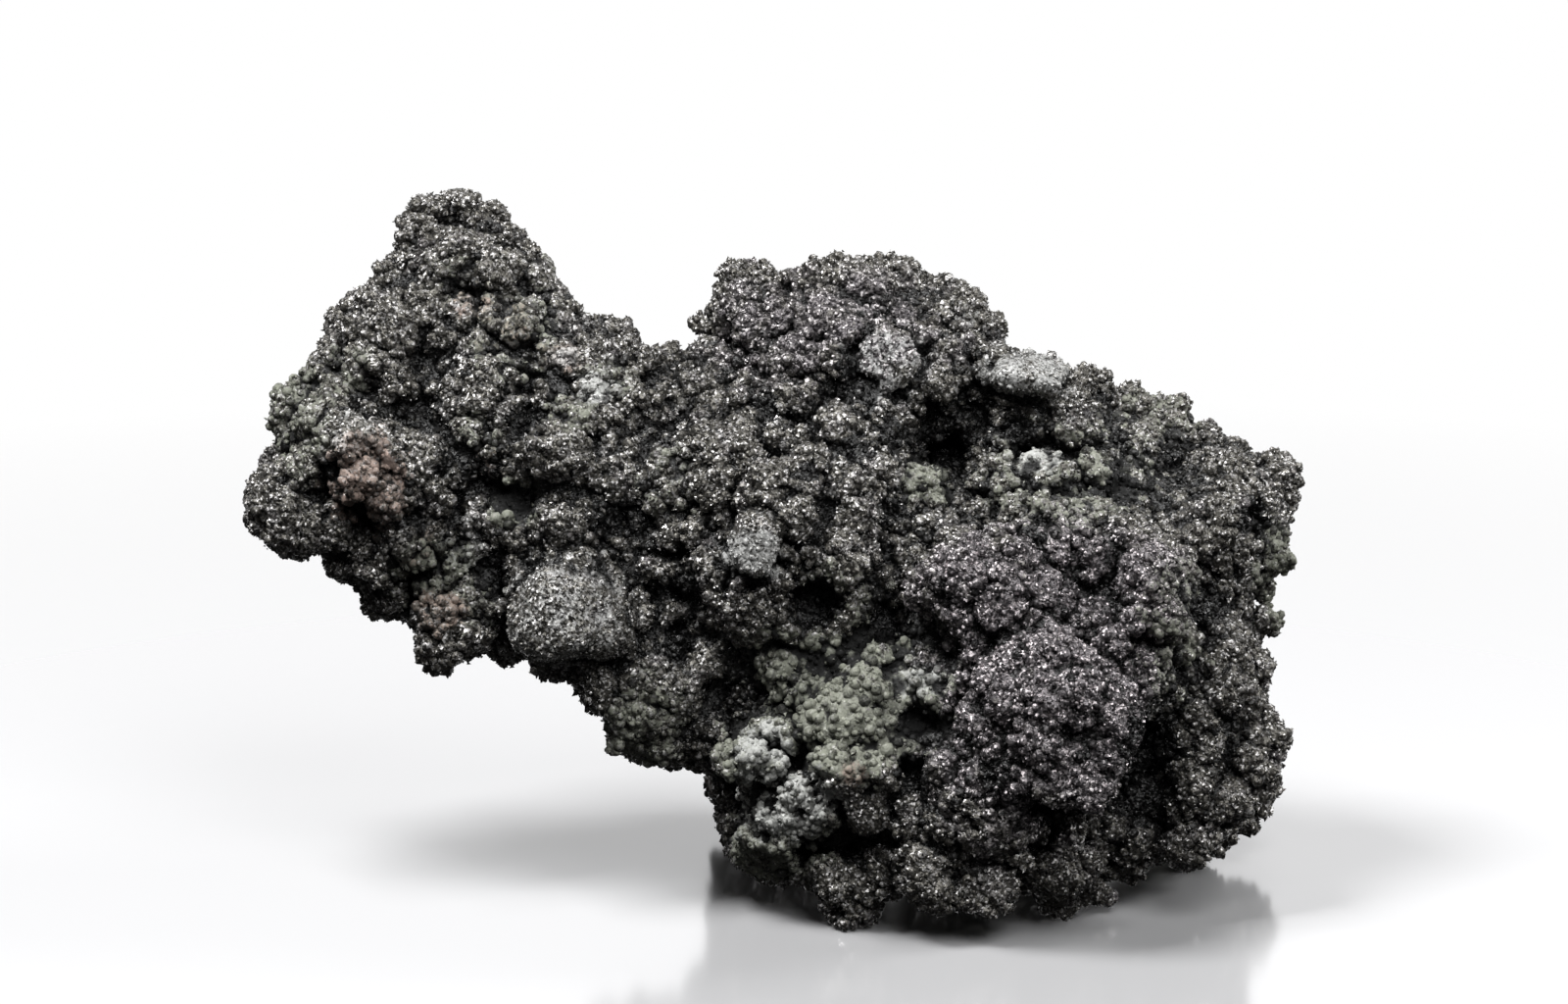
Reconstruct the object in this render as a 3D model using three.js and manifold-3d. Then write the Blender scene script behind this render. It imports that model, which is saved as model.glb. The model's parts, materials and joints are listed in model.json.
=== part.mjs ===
// A cabinet specimen of rheniite: one knobbly piece of fumarole crust, longer than it is tall,
// that stands on a few blunt points with its thinner end reaching out to the left.
// Millimetres, +Z up, the longest side along X, the best side facing -Y.

import * as THREE from "three";
import { mergeVertices } from "three/addons/utils/BufferGeometryUtils.js";
import { ImprovedNoise } from "three/addons/math/ImprovedNoise.js";
import Module from "manifold-3d";

const wasm = await Module();
wasm.setup();

// The best side is laid out the way it meets the eye. A place is [across, up, depth]: across and up are
// millimetres on an upright sheet through the middle of the specimen, square to the line of sight,
// and depth runs away from the viewer.
const eyeDistance = 533;
const eyeLift = THREE.MathUtils.degToRad(12);
const eyeUp = 42.8; // where the line of sight crosses the sheet
const sheetDrop = -1.5; // lowers the sheet until the front foot meets the floor

const smallestRound = 2.3; // knobs with a smaller radius get the plainer facets
const knobSink = 0.25; // how far a knob's middle lies under the skin, in radii
const floorDepth = 20; // thickness of the block that trims the feet flat
const faceGoal = 9700; // faces left once the flattest stretches are thinned out
const edgePull = 0.02; // how much the thinning favours short edges

// The large masses that the piece is grown from. Half sizes are across, up and depth; roll is in degrees.
const masses = {
  crag: { at: [-32.2, 67.4, 4], half: [7.6, 6.0, 7.5], roll: -8 },
  cragFoot: { at: [-30.5, 62.5, 4], half: [9.5, 6.5, 9], roll: 0 },
  shoulder: { at: [-39.5, 59.0, 3], half: [8.0, 6.5, 9], roll: 35 },
  neck: { at: [-27.0, 56.0, 4], half: [12.5, 7.0, 11], roll: -8 },
  armOuter: { at: [-46.0, 48.0, 0], half: [7.2, 8.5, 9], roll: 0 },
  armTip: { at: [-49.8, 42.5, -1], half: [4.8, 5.6, 7], roll: 10 },
  armMiddle: { at: [-36.5, 44.5, 1], half: [10.5, 12.0, 11], roll: 0 },
  belly: { at: [-33.5, 32.5, 3], half: [7.2, 5.8, 8.5], roll: -12 },
  waist: { at: [-20.0, 43.5, 2], half: [13.5, 14.0, 13], roll: 0 },
  hip: { at: [-13.0, 24.0, 2], half: [6.8, 8.6, 11], roll: 18 },
  saddle: { at: [-10.0, 49.0, 4], half: [9.5, 9.0, 13], roll: 0 },
  crown: { at: [4.5, 59.5, 4], half: [10.2, 7.6, 11], roll: 4 },
  crownRight: { at: [15.5, 57.0, 5], half: [8.0, 7.0, 11], roll: -20 },
  heart: { at: [1.0, 40.0, 2], half: [16.5, 18.0, 18], roll: 0 },
  cavernWall: { at: [16.5, 46.0, 10], half: [9.5, 9.0, 12], roll: 0 },
  rightShoulder: { at: [28.5, 47.2, 7], half: [13.3, 7.7, 14], roll: -16 },
  rightBlock: { at: [42.9, 40.0, 6], half: [8.1, 8.6, 14], roll: -20 },
  rightFlank: { at: [39.9, 24.5, 6], half: [9.4, 13.5, 17], roll: 0 },
  rightMiddle: { at: [26.5, 30.5, 2], half: [19.0, 18.0, 21], roll: 0 },
  slopeWall: { at: [-4.0, 24.0, 6], half: [7.0, 8.0, 10], roll: 0 },
  lowerMiddle: { at: [10.5, 19.0, 1], half: [15.0, 14.5, 18], roll: 0 },
  lowerSlope: { at: [0.3, 12.2, 1], half: [10.5, 7.4, 12], roll: -38 },
  lowerBack: { at: [-0.5, 19.5, 23], half: [8.5, 11.5, 9], roll: 0 },
  base: { at: [18.8, 9.9, 2], half: [16.5, 7.6, 18], roll: 0 },
  baseBack: { at: [21.0, 19.0, 20], half: [14.0, 11.5, 12], roll: 0 },
  baseRight: { at: [38.5, 13.0, 8], half: [10.5, 7.5, 15], roll: 8 },
};

// Lumps big enough to have a form of their own. blocky 2 is round, and more is squarer.
const boulders = {
  egg: { at: [-22.2, 30.8, -9], half: [6.5, 6.0, 5.5], roll: -25, blocky: 2.4 },
  slab: { at: [10.6, 57.0, -7], half: [5.2, 4.6, 3.6], roll: 30, blocky: 3.2 },
  cap: { at: [24.8, 55.6, -4], half: [5.4, 3.0, 5.5], roll: -12, blocky: 2.8 },
  brightFace: { at: [-3.0, 38.8, -16.5], half: [3.8, 5.0, 3.4], roll: -15, blocky: 2.6 },
  redBrow: { at: [-41.6, 45.6, -9.5], half: [3.4, 5.0, 3.2], roll: 22, blocky: 2.4 },
  frontBulge: { at: [26.5, 21.5, -17], half: [9.5, 8.5, 7], roll: 0, blocky: 2.2 },
  lowerBulge: { at: [19.5, 12.5, -13.5], half: [6.5, 6.5, 6.5], roll: 25, blocky: 2.2 },
  cheek: { at: [21.0, 35.5, -15.5], half: [6.5, 4.6, 5], roll: 20, blocky: 2.2 },
  brow: { at: [34.5, 34.5, -12], half: [8.0, 6.5, 6], roll: -10, blocky: 2.2 },
  greenCrust: { at: [-1.6, 16.6, -9.5], half: [4.8, 3.6, 4], roll: -20, blocky: 2.6 },
  wall: { at: [44.8, 17.5, -5], half: [5.4, 7.0, 6.5], roll: 0, blocky: 2.3 },
};

// Knobs on the best side, by region: [across, up, radius].
const knobs = {
  crag: [
    [-37.5, 71.5, 2.2], [-33.0, 72.6, 2.3], [-29.7, 72.3, 1.9], [-27.0, 69.8, 2.0], [-36.0, 68.2, 2.2],
    [-31.8, 67.8, 2.2], [-27.0, 67.6, 2.9], [-39.0, 67.4, 1.6], [-40.6, 65.4, 1.9], [-43.0, 63.5, 1.9],
    [-40.5, 61.8, 2.3], [-44.0, 60.3, 1.9], [-46.6, 57.4, 2.4], [-34.5, 64.0, 2.9], [-28.0, 63.8, 2.8],
    [-23.6, 64.0, 2.6], [-21.0, 61.6, 2.0], [-26.0, 60.0, 2.2], [-32.0, 60.2, 2.3], [-37.0, 60.0, 2.0],
  ],
  arm: [
    [-34.8, 56.4, 2.5], [-29.8, 55.4, 3.2], [-40.5, 57.3, 2.0], [-37.0, 53.8, 1.9], [-32.5, 50.0, 3.7],
    [-43.6, 49.4, 2.4], [-45.0, 54.0, 1.9], [-49.0, 53.0, 1.8], [-51.5, 54.1, 1.7], [-51.6, 50.8, 1.7],
    [-47.5, 50.5, 1.8], [-52.2, 46.8, 1.6], [-51.0, 44.0, 2.6], [-53.3, 40.9, 1.8], [-50.6, 39.2, 2.8],
    [-47.3, 39.6, 2.1], [-45.5, 42.5, 2.0], [-42.6, 36.8, 2.0], [-41.2, 32.4, 2.6], [-37.5, 37.0, 2.7],
    [-40.0, 34.8, 1.9], [-35.5, 31.8, 2.1], [-34.8, 28.2, 2.7], [-31.6, 28.8, 2.3], [-31.0, 40.5, 2.0],
    [-33.5, 36.0, 2.0], [-37.0, 42.0, 2.3], [-36.5, 46.2, 2.1], [-44.8, 35.9, 2.2], [-28.2, 28.0, 2.3],
  ],
  waist: [
    [-28.5, 47.5, 1.9], [-25.2, 46.4, 2.0], [-21.5, 45.4, 2.3], [-22.8, 41.8, 2.4], [-20.8, 39.2, 2.6],
    [-15.0, 45.3, 3.7], [-17.0, 49.2, 2.4], [-16.0, 52.5, 3.0], [-11.0, 42.0, 2.6], [-13.5, 39.2, 1.9],
    [-22.5, 57.4, 2.1], [-19.3, 54.7, 2.3], [-22.5, 51.8, 1.8], [-20.8, 49.2, 1.9], [-16.0, 60.2, 1.9],
    [-18.8, 60.8, 1.8], [-14.0, 57.0, 2.1], [-10.8, 55.2, 2.0], [-12.0, 58.2, 1.4], [-6.5, 56.6, 2.5],
    [-7.4, 58.6, 2.3], [-8.5, 53.8, 2.0], [-10.5, 57.0, 2.0], [-16.0, 36.8, 3.1], [-12.5, 38.0, 2.4],
    [-11.7, 31.8, 2.8],
    [-16.8, 28.8, 2.3], [-7.8, 26.8, 3.2], [-5.8, 32.8, 2.4], [-8.2, 37.2, 2.0], [-27.0, 37.2, 2.2],
  ],
  middle: [
    [-4.0, 65.0, 2.7], [-2.5, 61.2, 2.8], [3.5, 61.8, 2.8], [6.2, 61.5, 1.6], [0.0, 65.0, 2.0],
    [3.0, 66.0, 1.8], [5.8, 66.2, 1.9], [8.0, 67.4, 1.7], [11.0, 66.8, 1.7], [9.0, 64.6, 2.5],
    [12.5, 64.6, 2.2], [15.4, 65.0, 1.7], [18.4, 62.0, 2.7], [22.0, 61.4, 1.8], [15.5, 55.8, 2.7],
    [19.0, 56.4, 2.0], [2.5, 54.5, 3.6], [-2.0, 54.8, 3.1], [-2.0, 50.8, 1.9], [3.2, 49.8, 2.2],
    [7.2, 50.8, 2.2], [12.0, 51.0, 2.3], [-8.0, 49.0, 2.6], [-5.2, 46.8, 2.5], [-1.5, 45.8, 2.7],
    [2.8, 43.4, 2.2], [4.2, 40.6, 2.0], [4.5, 37.8, 1.9], [6.5, 35.6, 2.3], [8.7, 45.8, 2.6],
    [8.5, 41.6, 2.0], [8.4, 37.2, 1.6], [12.5, 38.8, 1.9], [13.0, 36.0, 2.3], [14.8, 33.4, 2.4],
    [17.5, 40.0, 3.0], [14.2, 45.0, 2.5],
  ],
  rightShoulder: [
    [31.0, 55.2, 1.8], [33.0, 56.6, 1.4], [35.0, 53.5, 2.0], [38.2, 52.4, 2.0], [40.9, 52.8, 1.6],
    [40.3, 50.0, 1.9], [37.0, 49.6, 2.1], [34.0, 49.4, 1.9], [30.5, 50.0, 1.9], [25.5, 47.0, 3.1],
    [21.0, 45.2, 2.0], [29.0, 45.5, 2.1], [33.0, 45.8, 2.2], [31.2, 42.6, 2.2], [36.2, 45.8, 2.0],
    [26.2, 41.6, 2.6], [33.5, 40.0, 2.2], [37.2, 41.0, 1.7],
  ],
  rightBlock: [
    [43.5, 49.6, 2.1], [46.2, 48.8, 1.7], [43.2, 46.6, 2.3], [47.2, 45.0, 2.7], [50.6, 45.8, 2.4],
    [51.8, 43.2, 1.6], [44.0, 40.8, 2.9], [50.8, 41.2, 1.9], [50.2, 37.2, 1.9], [43.7, 35.8, 2.5],
    [40.3, 36.8, 2.1], [46.2, 33.2, 2.4], [49.6, 30.6, 1.7], [49.0, 33.6, 1.6], [48.2, 26.0, 2.2],
    [46.6, 28.4, 2.6],
  ],
  right: [
    [24.2, 37.4, 2.1], [31.2, 37.0, 2.6], [36.5, 37.4, 2.2], [33.2, 31.2, 3.0], [38.0, 31.8, 3.2],
    [18.2, 31.4, 2.4], [26.2, 30.0, 3.2], [21.4, 28.8, 2.1], [30.6, 25.8, 3.0], [24.0, 26.0, 3.0],
    [20.4, 24.0, 2.4], [37.5, 25.6, 2.3], [43.8, 26.0, 2.9], [47.4, 22.6, 2.4], [42.0, 20.4, 3.0],
    [50.6, 18.2, 2.0], [49.6, 15.2, 1.9], [48.2, 12.6, 2.4], [43.2, 12.6, 3.0], [41.4, 9.6, 2.6],
    [45.0, 9.4, 1.9], [37.2, 7.8, 2.0],
  ],
  front: [
    [23.6, 21.6, 3.2], [28.8, 20.4, 3.2], [32.6, 20.4, 2.4], [22.0, 17.2, 2.6], [27.2, 15.8, 2.8],
    [31.4, 14.6, 2.5], [17.2, 15.6, 2.8], [20.6, 10.6, 2.8], [24.4, 8.6, 2.6], [29.0, 10.6, 2.5],
    [33.0, 9.8, 2.2], [14.4, 6.6, 2.5], [18.4, 4.8, 2.3],
    [6.8, 3.6, 2.0], [9.6, 3.8, 1.7], [12.2, 4.4, 1.8], [15.8, 3.6, 1.7], [25.6, 5.4, 2.0], [31.0, 6.0, 2.0],
  ],
  lowerLeft: [
    [-5.8, 16.8, 2.2], [-7.9, 18.3, 1.7], [-3.8, 21.0, 1.8], [-6.8, 22.0, 1.8], [8.5, 11.0, 2.9],
    [7.2, 15.2, 1.8], [3.5, 11.8, 2.0], [2.2, 8.4, 2.2], [-2.8, 9.6, 1.9], [-0.6, 11.8, 1.9],
    [-5.2, 12.2, 1.9], [4.7, 5.6, 1.6], [13.5, 24.8, 2.4], [6.0, 24.0, 2.5], [2.0, 25.4, 2.1],
    [3.0, 20.0, 2.1], [9.8, 20.6, 2.0], [-15.2, 20.6, 2.7], [-17.4, 22.2, 1.8], [-12.2, 17.6, 1.9],
    [-11.0, 22.8, 2.1],
  ],
};

// Hollows on the best side: [across, up, radius, how deep].
const hollows = [
  [-33.0, 46.4, 1.7, 4], [-27.0, 42.9, 2.4, 6], [-22.4, 54.8, 2.2, 6], [-26.0, 50.8, 2.0, 5],
  [-17.4, 41.0, 2.0, 5], [6.6, 55.2, 1.6, 6], [8.0, 53.2, 1.6, 5], [-13.2, 55.2, 1.4, 4],
  [7.0, 47.8, 1.8, 5], [11.2, 48.2, 1.5, 5], [2.0, 46.0, 1.5, 4], [11.2, 42.2, 1.5, 4],
  [3.2, 32.4, 3.2, 8], [16.4, 48.6, 2.7, 8], [23.2, 50.2, 1.8, 6], [-6.4, 35.0, 1.4, 4],
  [-10.0, 34.8, 1.3, 4], [-11.0, 28.4, 1.3, 4], [26.8, 39.0, 1.5, 4], [47.8, 41.0, 2.2, 5],
  [42.6, 31.4, 2.2, 5], [37.2, 18.6, 2.5, 7], [36.4, 12.6, 2.3, 6], [13.6, 20.4, 2.3, 6],
  [12.8, 15.4, 2.1, 6], [7.0, 7.2, 2.2, 6], [22.0, 14.0, 1.4, 4], [-38.0, 56.2, 1.3, 4],
];

// Feet: [across, depth, radius, height], from the floor up into the masses. The first four are in sight.
const feet = [
  [7.4, -6.5, 2.3, 13], [18.6, 1, 3.0, 8], [28.8, -1.5, 2.4, 9], [43.0, 14, 2.2, 12],
  [-2.6, 28.5, 3.2, 15], [20, 27, 3.8, 14], [41, 22, 3.4, 14],
];

// Knobs sown over the back, the top and the underside, out of sight from the front.
const backKnobCount = 180;
const backKnobRadius = [2.3, 6.4];
const backKnobClear = 4; // least depth behind the best side
const backKnobReach = [1, 0.94, 0.88, 0.82]; // shares of the way out to the skin that are tried in turn

const noise = new ImprovedNoise();
const random = () => THREE.MathUtils.seededRandom();
THREE.MathUtils.seededRandom(4581); // sets the seed

const cosLift = Math.cos(eyeLift);
const sinLift = Math.sin(eyeLift);

// Turns a place on the sheet, at a depth, into a point on the line of sight through it.
function sightPoint([across, up, depth]) {
  const spread = 1 + depth / eyeDistance;
  return new THREE.Vector3(across * spread, eyeUp + (up - eyeUp) * spread, depth);
}

// Sight points run right, up and away; the specimen's own axes run right, back and up.
function toSpecimen(point) {
  return new THREE.Vector3(
    point.x,
    point.z * cosLift + point.y * sinLift,
    point.y * cosLift - point.z * sinLift + sheetDrop,
  );
}

// The place on the sheet that lies in front of a sight point.
function onSheet(point) {
  const spread = 1 + point.z / eyeDistance;
  return [point.x / spread, eyeUp + (point.y - eyeUp) / spread];
}

// An offset from a mass's middle, or a direction, measured so that the mass is a ball of radius 1.
function inBall(mass, offset) {
  const turned = new THREE.Vector2(offset.x, offset.y);
  turned.rotateAround(new THREE.Vector2(), -THREE.MathUtils.degToRad(mass.roll));
  return new THREE.Vector3(turned.x / mass.half[0], turned.y / mass.half[1], offset.z / mass.half[2]);
}

// Depth of the skin where a line of sight first meets it, or passes it closest.
function skinDepth(across, up) {
  const eye = new THREE.Vector3(0, eyeUp, -eyeDistance);
  const sight = new THREE.Vector3(across, up, 0).sub(eye);
  let best = { hit: false, depth: 0, gap: Infinity };
  for (const mass of [...Object.values(masses), ...Object.values(boulders)]) {
    const start = inBall(mass, eye.clone().sub(sightPoint(mass.at)));
    const run = inBall(mass, sight);
    const a = run.dot(run);
    const b = start.dot(run);
    const inside = b * b - a * (start.dot(start) - 1);
    const t = (inside > 0 ? -b - Math.sqrt(inside) : -b) / a;
    const depth = (t - 1) * eyeDistance;
    const gap = start.clone().addScaledVector(run, t).length();
    if (inside > 0 && (!best.hit || depth < best.depth)) best = { hit: true, depth, gap };
    if (inside <= 0 && !best.hit && gap < best.gap) best = { hit: false, depth, gap };
  }
  return best;
}

// A rough ball: an icosahedron whose corners are pushed out and in by noise.
function rough({ middle, half, roll = 0, blocky = 2, detail = 1, lumpiness = 0.12, seed = 0 }) {
  const ball = new THREE.IcosahedronGeometry(1, detail);
  ball.deleteAttribute("normal");
  ball.deleteAttribute("uv");
  const geometry = mergeVertices(ball, 1e-4);
  const corners = geometry.getAttribute("position");
  const turn = new THREE.Matrix4().makeRotationZ(THREE.MathUtils.degToRad(roll));
  const corner = new THREE.Vector3();
  for (let i = 0; i < corners.count; i++) {
    corner.fromBufferAttribute(corners, i).normalize();
    const square = ["x", "y", "z"].reduce((sum, k) => sum + Math.abs(corner[k]) ** blocky, 0);
    const reach = square ** (-1 / blocky);
    const push = noise.noise(corner.x * 1.7 + seed, corner.y * 1.7 - seed, corner.z * 1.7 + 2 * seed);
    corner.multiplyScalar(reach * (1 + lumpiness * 2 * push));
    corner.set(corner.x * half[0], corner.y * half[1], corner.z * half[2]);
    corner.applyMatrix4(turn).add(middle);
    const placed = toSpecimen(corner);
    corners.setXYZ(i, placed.x, placed.y, placed.z);
  }
  geometry.index.array.reverse(); // right, up and away are left-handed, so each face is turned round
  return solid(geometry);
}

function solid(geometry) {
  return new wasm.Manifold(
    new wasm.Mesh({
      numProp: 3,
      vertProperties: geometry.getAttribute("position").array,
      triVerts: new Uint32Array(geometry.index.array),
    }),
  );
}

function skinGeometry({ points, faces }) {
  const geometry = new THREE.BufferGeometry().setFromPoints(points);
  geometry.setIndex(faces.flat());
  return geometry;
}

function massSolids() {
  return Object.values(masses).map((mass, i) =>
    rough({ ...mass, middle: sightPoint(mass.at), detail: 2, lumpiness: 0.09, seed: i * 3.7 + 0.4 }),
  );
}

function boulderSolids() {
  return Object.values(boulders).map((boulder, i) =>
    rough({ ...boulder, middle: sightPoint(boulder.at), detail: 2, lumpiness: 0.06, seed: i * 5.3 + 60.2 }),
  );
}

function knobSolids() {
  return Object.values(knobs).flat().map(([across, up, radius], i) => {
    const skin = skinDepth(across, up);
    const depth = skin.depth + (skin.hit ? knobSink * radius : 0);
    const long = 0.9 + 0.35 * random();
    return rough({
      middle: sightPoint([across, up, depth]),
      half: [radius * long, radius / Math.sqrt(long), radius],
      roll: 180 * random(),
      detail: radius < smallestRound ? 0 : 1,
      lumpiness: 0.14,
      seed: i * 2.3 + 101.7,
    });
  });
}

// Sown knobs sit on the masses where no other mass covers them, behind the best side. Near the outline
// they sink in until they barely show past it.
function backSolids() {
  const hosts = Object.values(masses);
  const sown = [];
  while (sown.length < backKnobCount) {
    const host = hosts[Math.floor(random() * hosts.length)];
    if (host.half[0] * host.half[1] < random() * 200) continue; // the wider masses bear more of them
    const look = new THREE.Vector3(random() - 0.5, random() - 0.5, random() - 0.5).normalize();
    const radius = THREE.MathUtils.lerp(...backKnobRadius, random() ** 2);
    const places = backKnobReach.map((share) => placeOn(host, look, share));
    const covered = hosts.some((mass) => {
      const offset = places[0].clone().sub(sightPoint(mass.at));
      return inBall(mass, offset).length() < 0.92;
    });
    const middle = places.find((place) => isHidden(place, backKnobClear, 0.65 * radius));
    if (covered || !middle || toSpecimen(middle).z < 1.1 * radius) continue;
    const seed = sown.length * 1.9 + 300.3;
    sown.push(rough({ middle, half: [radius, radius, radius], lumpiness: 0.2, seed }));
  }
  return sown;
}

// The point at a share of the way from a mass's middle to its skin.
function placeOn(mass, look, share) {
  const reach = new THREE.Vector3(...mass.half).multiply(look).multiplyScalar(share);
  reach.applyAxisAngle(new THREE.Vector3(0, 0, 1), THREE.MathUtils.degToRad(mass.roll));
  return reach.add(sightPoint(mass.at));
}

// True where a place is at least so far behind the best side, and so far inside the outline.
function isHidden(place, behind, inside) {
  const [across, up] = onSheet(place);
  return [[inside, 0], [-inside, 0], [0, inside], [0, -inside]].every(([x, y]) => {
    const { hit, depth } = skinDepth(across + x, up + y);
    return hit && place.z > depth + behind;
  });
}

// A foot is a stout lump whose middle is above the floor, so that trimming it leaves a small flat.
function footSolids() {
  return feet.map(([across, depth, radius, height], i) => {
    const upAtFloor = (depth * sinLift - sheetDrop) / cosLift;
    const middle = new THREE.Vector3(across * (1 + depth / eyeDistance), upAtFloor + height * 0.42, depth);
    return rough({ middle, half: [radius, height / 2, radius], lumpiness: 0.1, seed: i * 4.1 + 500.9 });
  });
}

function hollowSolids() {
  return hollows.map(([across, up, radius, deep], i) => {
    const { depth } = skinDepth(across, up);
    const middle = sightPoint([across, up, depth]);
    return rough({ middle, half: [radius, radius, deep], detail: 1, lumpiness: 0.14, seed: i * 6.1 + 700.5 });
  });
}

function floorBlock() {
  const block = new THREE.BoxGeometry(400, 400, floorDepth);
  block.deleteAttribute("normal");
  block.deleteAttribute("uv");
  block.translate(0, 0, -floorDepth / 2);
  return solid(mergeVertices(block));
}

// The outer skin of a solid: the faces joined to its highest corner. Closed pockets are filled by it.
function outerSkin(piece) {
  const { vertProperties, triVerts } = piece.getMesh();
  const points = [];
  for (let i = 0; i < vertProperties.length; i += 3) {
    points.push(new THREE.Vector3().fromArray(vertProperties, i));
  }
  const faces = [];
  for (let i = 0; i < triVerts.length; i += 3) faces.push([...triVerts.slice(i, i + 3)]);
  const around = facesAround(points, faces);
  const highest = points.reduce((best, point, i) => (point.z > points[best].z ? i : best), 0);
  const reached = new Set(around[highest]);
  for (const face of reached) {
    for (const i of face) around[i].forEach((next) => reached.add(next));
  }
  return { points, faces: [...reached] };
}

function facesAround(points, faces) {
  const around = points.map(() => []);
  for (const face of faces) {
    for (const i of face) around[i].push(face);
  }
  return around;
}

// Thins a skin out to a number of faces. The edges whose loss moves the skin least are drawn together first.
function thinned({ points, faces }, faceGoal) {
  const planes = points.map(() => []);
  for (const face of faces) {
    const triangle = new THREE.Triangle(...face.map((i) => points[i]));
    const side = { plane: triangle.getPlane(new THREE.Plane()), area: triangle.getArea() };
    for (const i of face) planes[i].push(side);
  }
  const strain = (ends, place) => {
    let sum = 0;
    for (const i of ends) {
      for (const { plane, area } of planes[i]) sum += area * plane.distanceToPoint(place) ** 2;
    }
    return sum;
  };
  let stalled = false;
  while (faces.length > faceGoal && !stalled) {
    const around = facesAround(points, faces);
    const edges = [];
    for (const [a, b, c] of faces) {
      for (const ends of [[a, b], [b, c], [c, a]]) {
        if (ends[0] > ends[1]) continue; // the face on the other side brings the same edge
        const [start, end] = ends.map((i) => points[i]);
        const places = [start, end, start.clone().lerp(end, 0.5)];
        const strains = places.map((place) => strain(ends, place) + edgePull * start.distanceToSquared(end));
        const least = Math.min(...strains);
        edges.push({ ends, place: places[strains.indexOf(least)], least });
      }
    }
    edges.sort((p, q) => p.least - q.least);
    const busy = new Set();
    const gone = new Set();
    for (const { ends: [a, b], place } of edges) {
      if (faces.length - gone.size <= faceGoal || gone.size > faces.length / 12) break;
      if (busy.has(a) || busy.has(b)) continue;
      const shared = around[a].filter((face) => face.includes(b));
      const changed = [...around[a], ...around[b]].filter((face) => !shared.includes(face));
      const beside = new Set(around[a].flat());
      const common = new Set(around[b].flat().filter((i) => i !== a && i !== b && beside.has(i)));
      if (common.size !== 2 || shared.length !== 2) continue;
      if (!changed.every((face) => keepsItsSide(face, points, a, b, place))) continue;
      for (const face of [...around[a], ...around[b]]) face.forEach((i) => busy.add(i));
      shared.forEach((face) => gone.add(face));
      for (const face of around[b]) face.splice(face.indexOf(b), 1, a);
      points[a] = place;
      planes[a].push(...planes[b]);
    }
    faces = faces.filter((face) => !gone.has(face));
    stalled = gone.size === 0;
  }
  return { points, faces };
}

// True when a face still looks the same way, and isn't a sliver, once the corners a and b are at one place.
function keepsItsSide(face, points, a, b, place) {
  const before = new THREE.Triangle(...face.map((i) => points[i]));
  const after = new THREE.Triangle(...face.map((i) => (i === a || i === b ? place : points[i])));
  const longest = Math.max(after.a.distanceTo(after.b), after.b.distanceTo(after.c), after.c.distanceTo(after.a));
  const wasSpeck = before.getArea() < 0.01;
  if (after.getArea() < 0.06 * longest ** 2) return wasSpeck && after.getArea() > 0.01;
  if (wasSpeck) return true;
  return before.getNormal(new THREE.Vector3()).dot(after.getNormal(new THREE.Vector3())) > 0.3;
}

function specimenSolid() {
  let piece = massSolids().reduce((a, b) => a.add(b));
  for (const lump of boulderSolids()) piece = piece.add(lump);
  for (const hollow of hollowSolids()) piece = piece.subtract(hollow);
  for (const lump of [...knobSolids(), ...backSolids(), ...footSolids()]) piece = piece.add(lump);
  const skin = mergeVertices(skinGeometry(thinned(outerSkin(piece), faceGoal)));
  return solid(skin).subtract(floorBlock());
}

// The origin is the middle of the footprint of the whole piece, on the floor.
function specimenGeometry() {
  const geometry = skinGeometry(outerSkin(specimenSolid()));
  geometry.computeBoundingBox();
  const centre = geometry.boundingBox.getCenter(new THREE.Vector3());
  geometry.translate(-centre.x, -centre.y, 0);
  geometry.computeVertexNormals();
  return geometry;
}

function rheniiteFinish() {
  return new THREE.MeshStandardMaterial({
    color: 0x45454a,
    roughness: 0.5,
    metalness: 0.6,
    flatShading: true,
  });
}

const specimen = new THREE.Group();
const rock = new THREE.Mesh(specimenGeometry(), rheniiteFinish());
rock.name = "rheniite_crust";
specimen.add(rock);

export default specimen;
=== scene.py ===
import json
import math

import bpy
import numpy as np
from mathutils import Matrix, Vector, noise
from mathutils.bvhtree import BVHTree
from mathutils.kdtree import KDTree

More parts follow.
